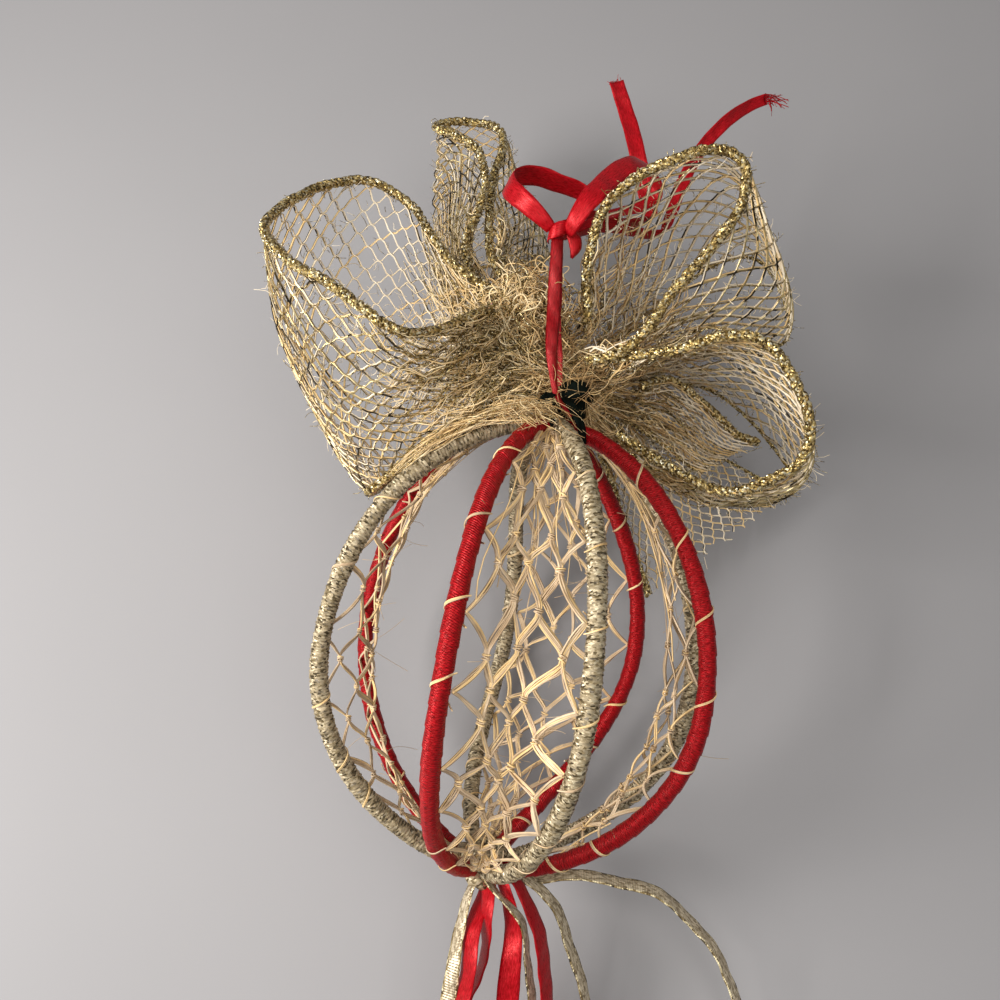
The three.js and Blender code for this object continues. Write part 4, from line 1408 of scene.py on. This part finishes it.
# %% Tape ends
TAPE_WIDTH = 2.6 * MM
TAPE_WAYS = [(0.9, 0.4, 0.1), (0.8, 0.6, 0.1)]
TAPE_ENDS = {
    "tape_end_right": [[4.5, -3.5, -40.5], [6.0, -5.5, -43.0], [8.0, -6.2, -47.5], [9.0, -5.8, -52.5]],
    "tape_end_left": [[1.2, -3.0, -40.4], [-0.4, -4.6, -40.9], [-1.8, -5.4, -42.2], [-2.6, -5.6, -43.8]],
}
for name, route in TAPE_ENDS.items():
    piece, _, length = flat_ribbon(name, route, TAPE_WIDTH, TAPE_WAYS, [1, 1, 0.8], 0.3 * MM, tape_finish)
    keep(piece)
    print(name, round(length / MM), "mm")

# %% [markdown]
# At the foot the wires end in a lump of wound gold braid, and the tassel comes out from under it.
# Five uneven rings of thick cord, each tipped its own way, overlap enough to look wound.

# %% Foot knot
FOOT_TURNS = [(5.2, -54.2, 0.15, 1.9), (4.4, -56.6, -0.25, 1.8), (3.0, -58.4, 0.3, 1.5),
              (5.4, -51.8, -0.2, 1.7), (2.6, -53.0, 0.5, 2.2)]  # radius, height, lean, thickness


def foot_knot():
    bundle = Bundle()
    a = np.linspace(0, TURN, 40)
    for k, (radius, height, lean, thickness) in enumerate(FOOT_TURNS):
        rise = lean * radius * np.sin(a) + 0.4 * np.sin(5 * a)
        ring = around(radius * (1 + 0.08 * np.sin(3 * a + k)), a + k, height + rise)
        bundle.add(on_globe(ring), thickness * MM, 0)
    keep(bundle.build("foot_knot_braid", [foot_braid], sides=CORD_SIDES), "foot_knot")


foot_knot()

# %% [markdown]
# The hanging ribbon's knot is one turn of the same satin pulled tight round the strands, with a
# small fold under it. A true knot would hide nearly all of its own length, so only the turn that
# shows is made, by the ribbon function with a short round route.

# %% Hanger knot
KNOT_ROUTE = [[-2.0, 1.5, 0.6], [-2.4, -1.5, 0.9], [-0.6, -3.0, 1.5], [1.4, -2.4, 2.4],
              [2.2, 0.2, 3.0], [0.8, 2.4, 2.6], [-1.6, 2.0, 1.8]]
FOLD_ROUTE = [[2.6, 0.6, 2.4], [4.4, 0.4, 0.6], [5.0, 0.4, -2.0], [4.2, 0.6, -4.6]]


def hanger_knot():
    turn, _, _ = flat_ribbon("hanger_knot_wrap", KNOT_ROUTE, 3.6 * MM, [(0.2, 0, 1)], [0.9, 1, 1, 0.9],
                             0.3 * MM, ribbon_satin)
    keep(turn, "hanger_knot")
    fold, _, _ = flat_ribbon("hanger_fold", FOLD_ROUTE, 4.4 * MM, [(0.9, 0.5, 0.3)], [0.8, 0.95, 0.8, 0.15],
                             0.5 * MM, ribbon_satin)
    keep(fold)


hanger_knot()

# %% [markdown]
# The hanging ribbon's cut ends aren't sealed, so the last threads of both tails have come loose.
# They start across the cut end, run on a little way and then droop. They are a bundle of a few
# lines, because single threads show against the wall.

# %% Frayed ribbon ends
def frayed_end(name, count, spread, length):
    bundle = Bundle()
    line = hanger[name] / MM
    ahead = unit(line[-1] - line[-4])
    wide, _ = wide_ways(hanger[name], HANGER[name][1])
    for _ in range(count):
        start = line[-1] - ahead * 0.6 + wide[-1] * dice.uniform(-0.8, 0.8) * spread
        share = np.linspace(0, 1, 9)[:, None]
        drift = np.array([dice.gauss(0, 0.5) for _ in range(3)])
        long = dice.uniform(0.25, 1.0) * length
        thread = start + ahead * share * long + (drift + (0.25, 0, -0.75)) * share**2 * long * 0.7
        bundle.add(thread * MM, dice.uniform(0.07, 0.15) * MM, 0)
    piece = bundle.build(name + "_frayed", [ribbon_satin])
    keep(piece)


for name, (count, spread, length) in FRAYED.items():
    frayed_end(name, count, spread, length)

# %% [markdown]
# A pale wall stands close behind the ornament, as in a room, and catches its soft shadow. Seen from
# the back it is transparent, so that it never hides the ornament. It leans, so that the tassel hangs
# nearest to it and casts the sharpest shadow.

# %% Stage
WALL_PLACE = (0, 98 * MM, 12 * MM)
WALL_LEAN = math.radians(15.6)
STAGE_SIZE = 6.0


def wall_finish(name, colour):
    paint = Finish(name, roughness=0.9, specular=0.2)
    grain = paint.noise(paint.mapped("Object", (1, 1, 1)), 9, detail=4.0)
    tone = paint.ramp(grain, (0.3, tuple(c * 0.97 for c in colour)), (0.7, colour))
    material = paint.done(tone)
    behind = paint.nodes.new("ShaderNodeNewGeometry")
    clear = paint.nodes.new("ShaderNodeBsdfTransparent")
    either = paint.nodes.new("ShaderNodeMixShader")
    paint.link(behind.outputs["Backfacing"], either.inputs["Fac"])
    paint.link(paint.shader.outputs["BSDF"], either.inputs[1])
    paint.link(clear.outputs["BSDF"], either.inputs[2])
    paint.link(either.outputs["Shader"], paint.nodes["Material Output"].inputs["Surface"])
    return material


def stage_plane(name, matrix, material):
    bm = bmesh.new()
    bmesh.ops.create_grid(bm, x_segments=1, y_segments=1, size=STAGE_SIZE / 2, matrix=matrix)
    into_object(bm, name, material)


PAINT = (0.301, 0.296, 0.302)
paint = wall_finish("pale_paint", PAINT)
upright = Matrix.Rotation(math.pi / 2 - WALL_LEAN, 4, "X")
stage_plane("wall", Matrix.Translation(WALL_PLACE) @ upright, paint)
print("wall behind the bow at", WALL_PLACE[1], "m, leaning", round(math.degrees(WALL_LEAN), 1), "degrees")

# %% [markdown]
# The main light is soft and stands far to the left of the camera. A second one near the camera and
# a pale sky fill the shadows. Two lights are enough for a small thing in a plain room, and each can
# be moved without upsetting the other. The view transform is the standard one, which keeps the
# colours of the finishes as they were chosen.

# %% Lights
def soft_light(name, place, target, size, power, colour):
    data = bpy.data.lights.new(name, "AREA")
    data.size = size
    data.energy = power
    data.color = colour
    lamp = bpy.data.objects.new(name, data)
    lamp.location = place
    lamp.rotation_euler = (Vector(target) - Vector(place)).to_track_quat("-Z", "Y").to_euler()
    bpy.context.scene.collection.objects.link(lamp)


soft_light("main_light", (-0.41, -0.34, -0.08), (0, 0.02, -0.07), 0.25, 4.6, (1.0, 0.97, 0.94))
soft_light("fill_light", (0.10, -0.70, 0.02), (0, 0.02, -0.07), 0.5, 2.5, (1.0, 0.97, 0.93))
SKY_COLOUR, SKY_STRENGTH = (0.84, 0.83, 0.83, 1), 0.34
world = bpy.data.worlds.new("room")
world.use_nodes = True
world.node_tree.nodes["Background"].inputs["Color"].default_value = SKY_COLOUR
world.node_tree.nodes["Background"].inputs["Strength"].default_value = SKY_STRENGTH
bpy.context.scene.world = world
bpy.context.scene.view_settings.view_transform = "Standard"
print("two soft lights and a pale sky")
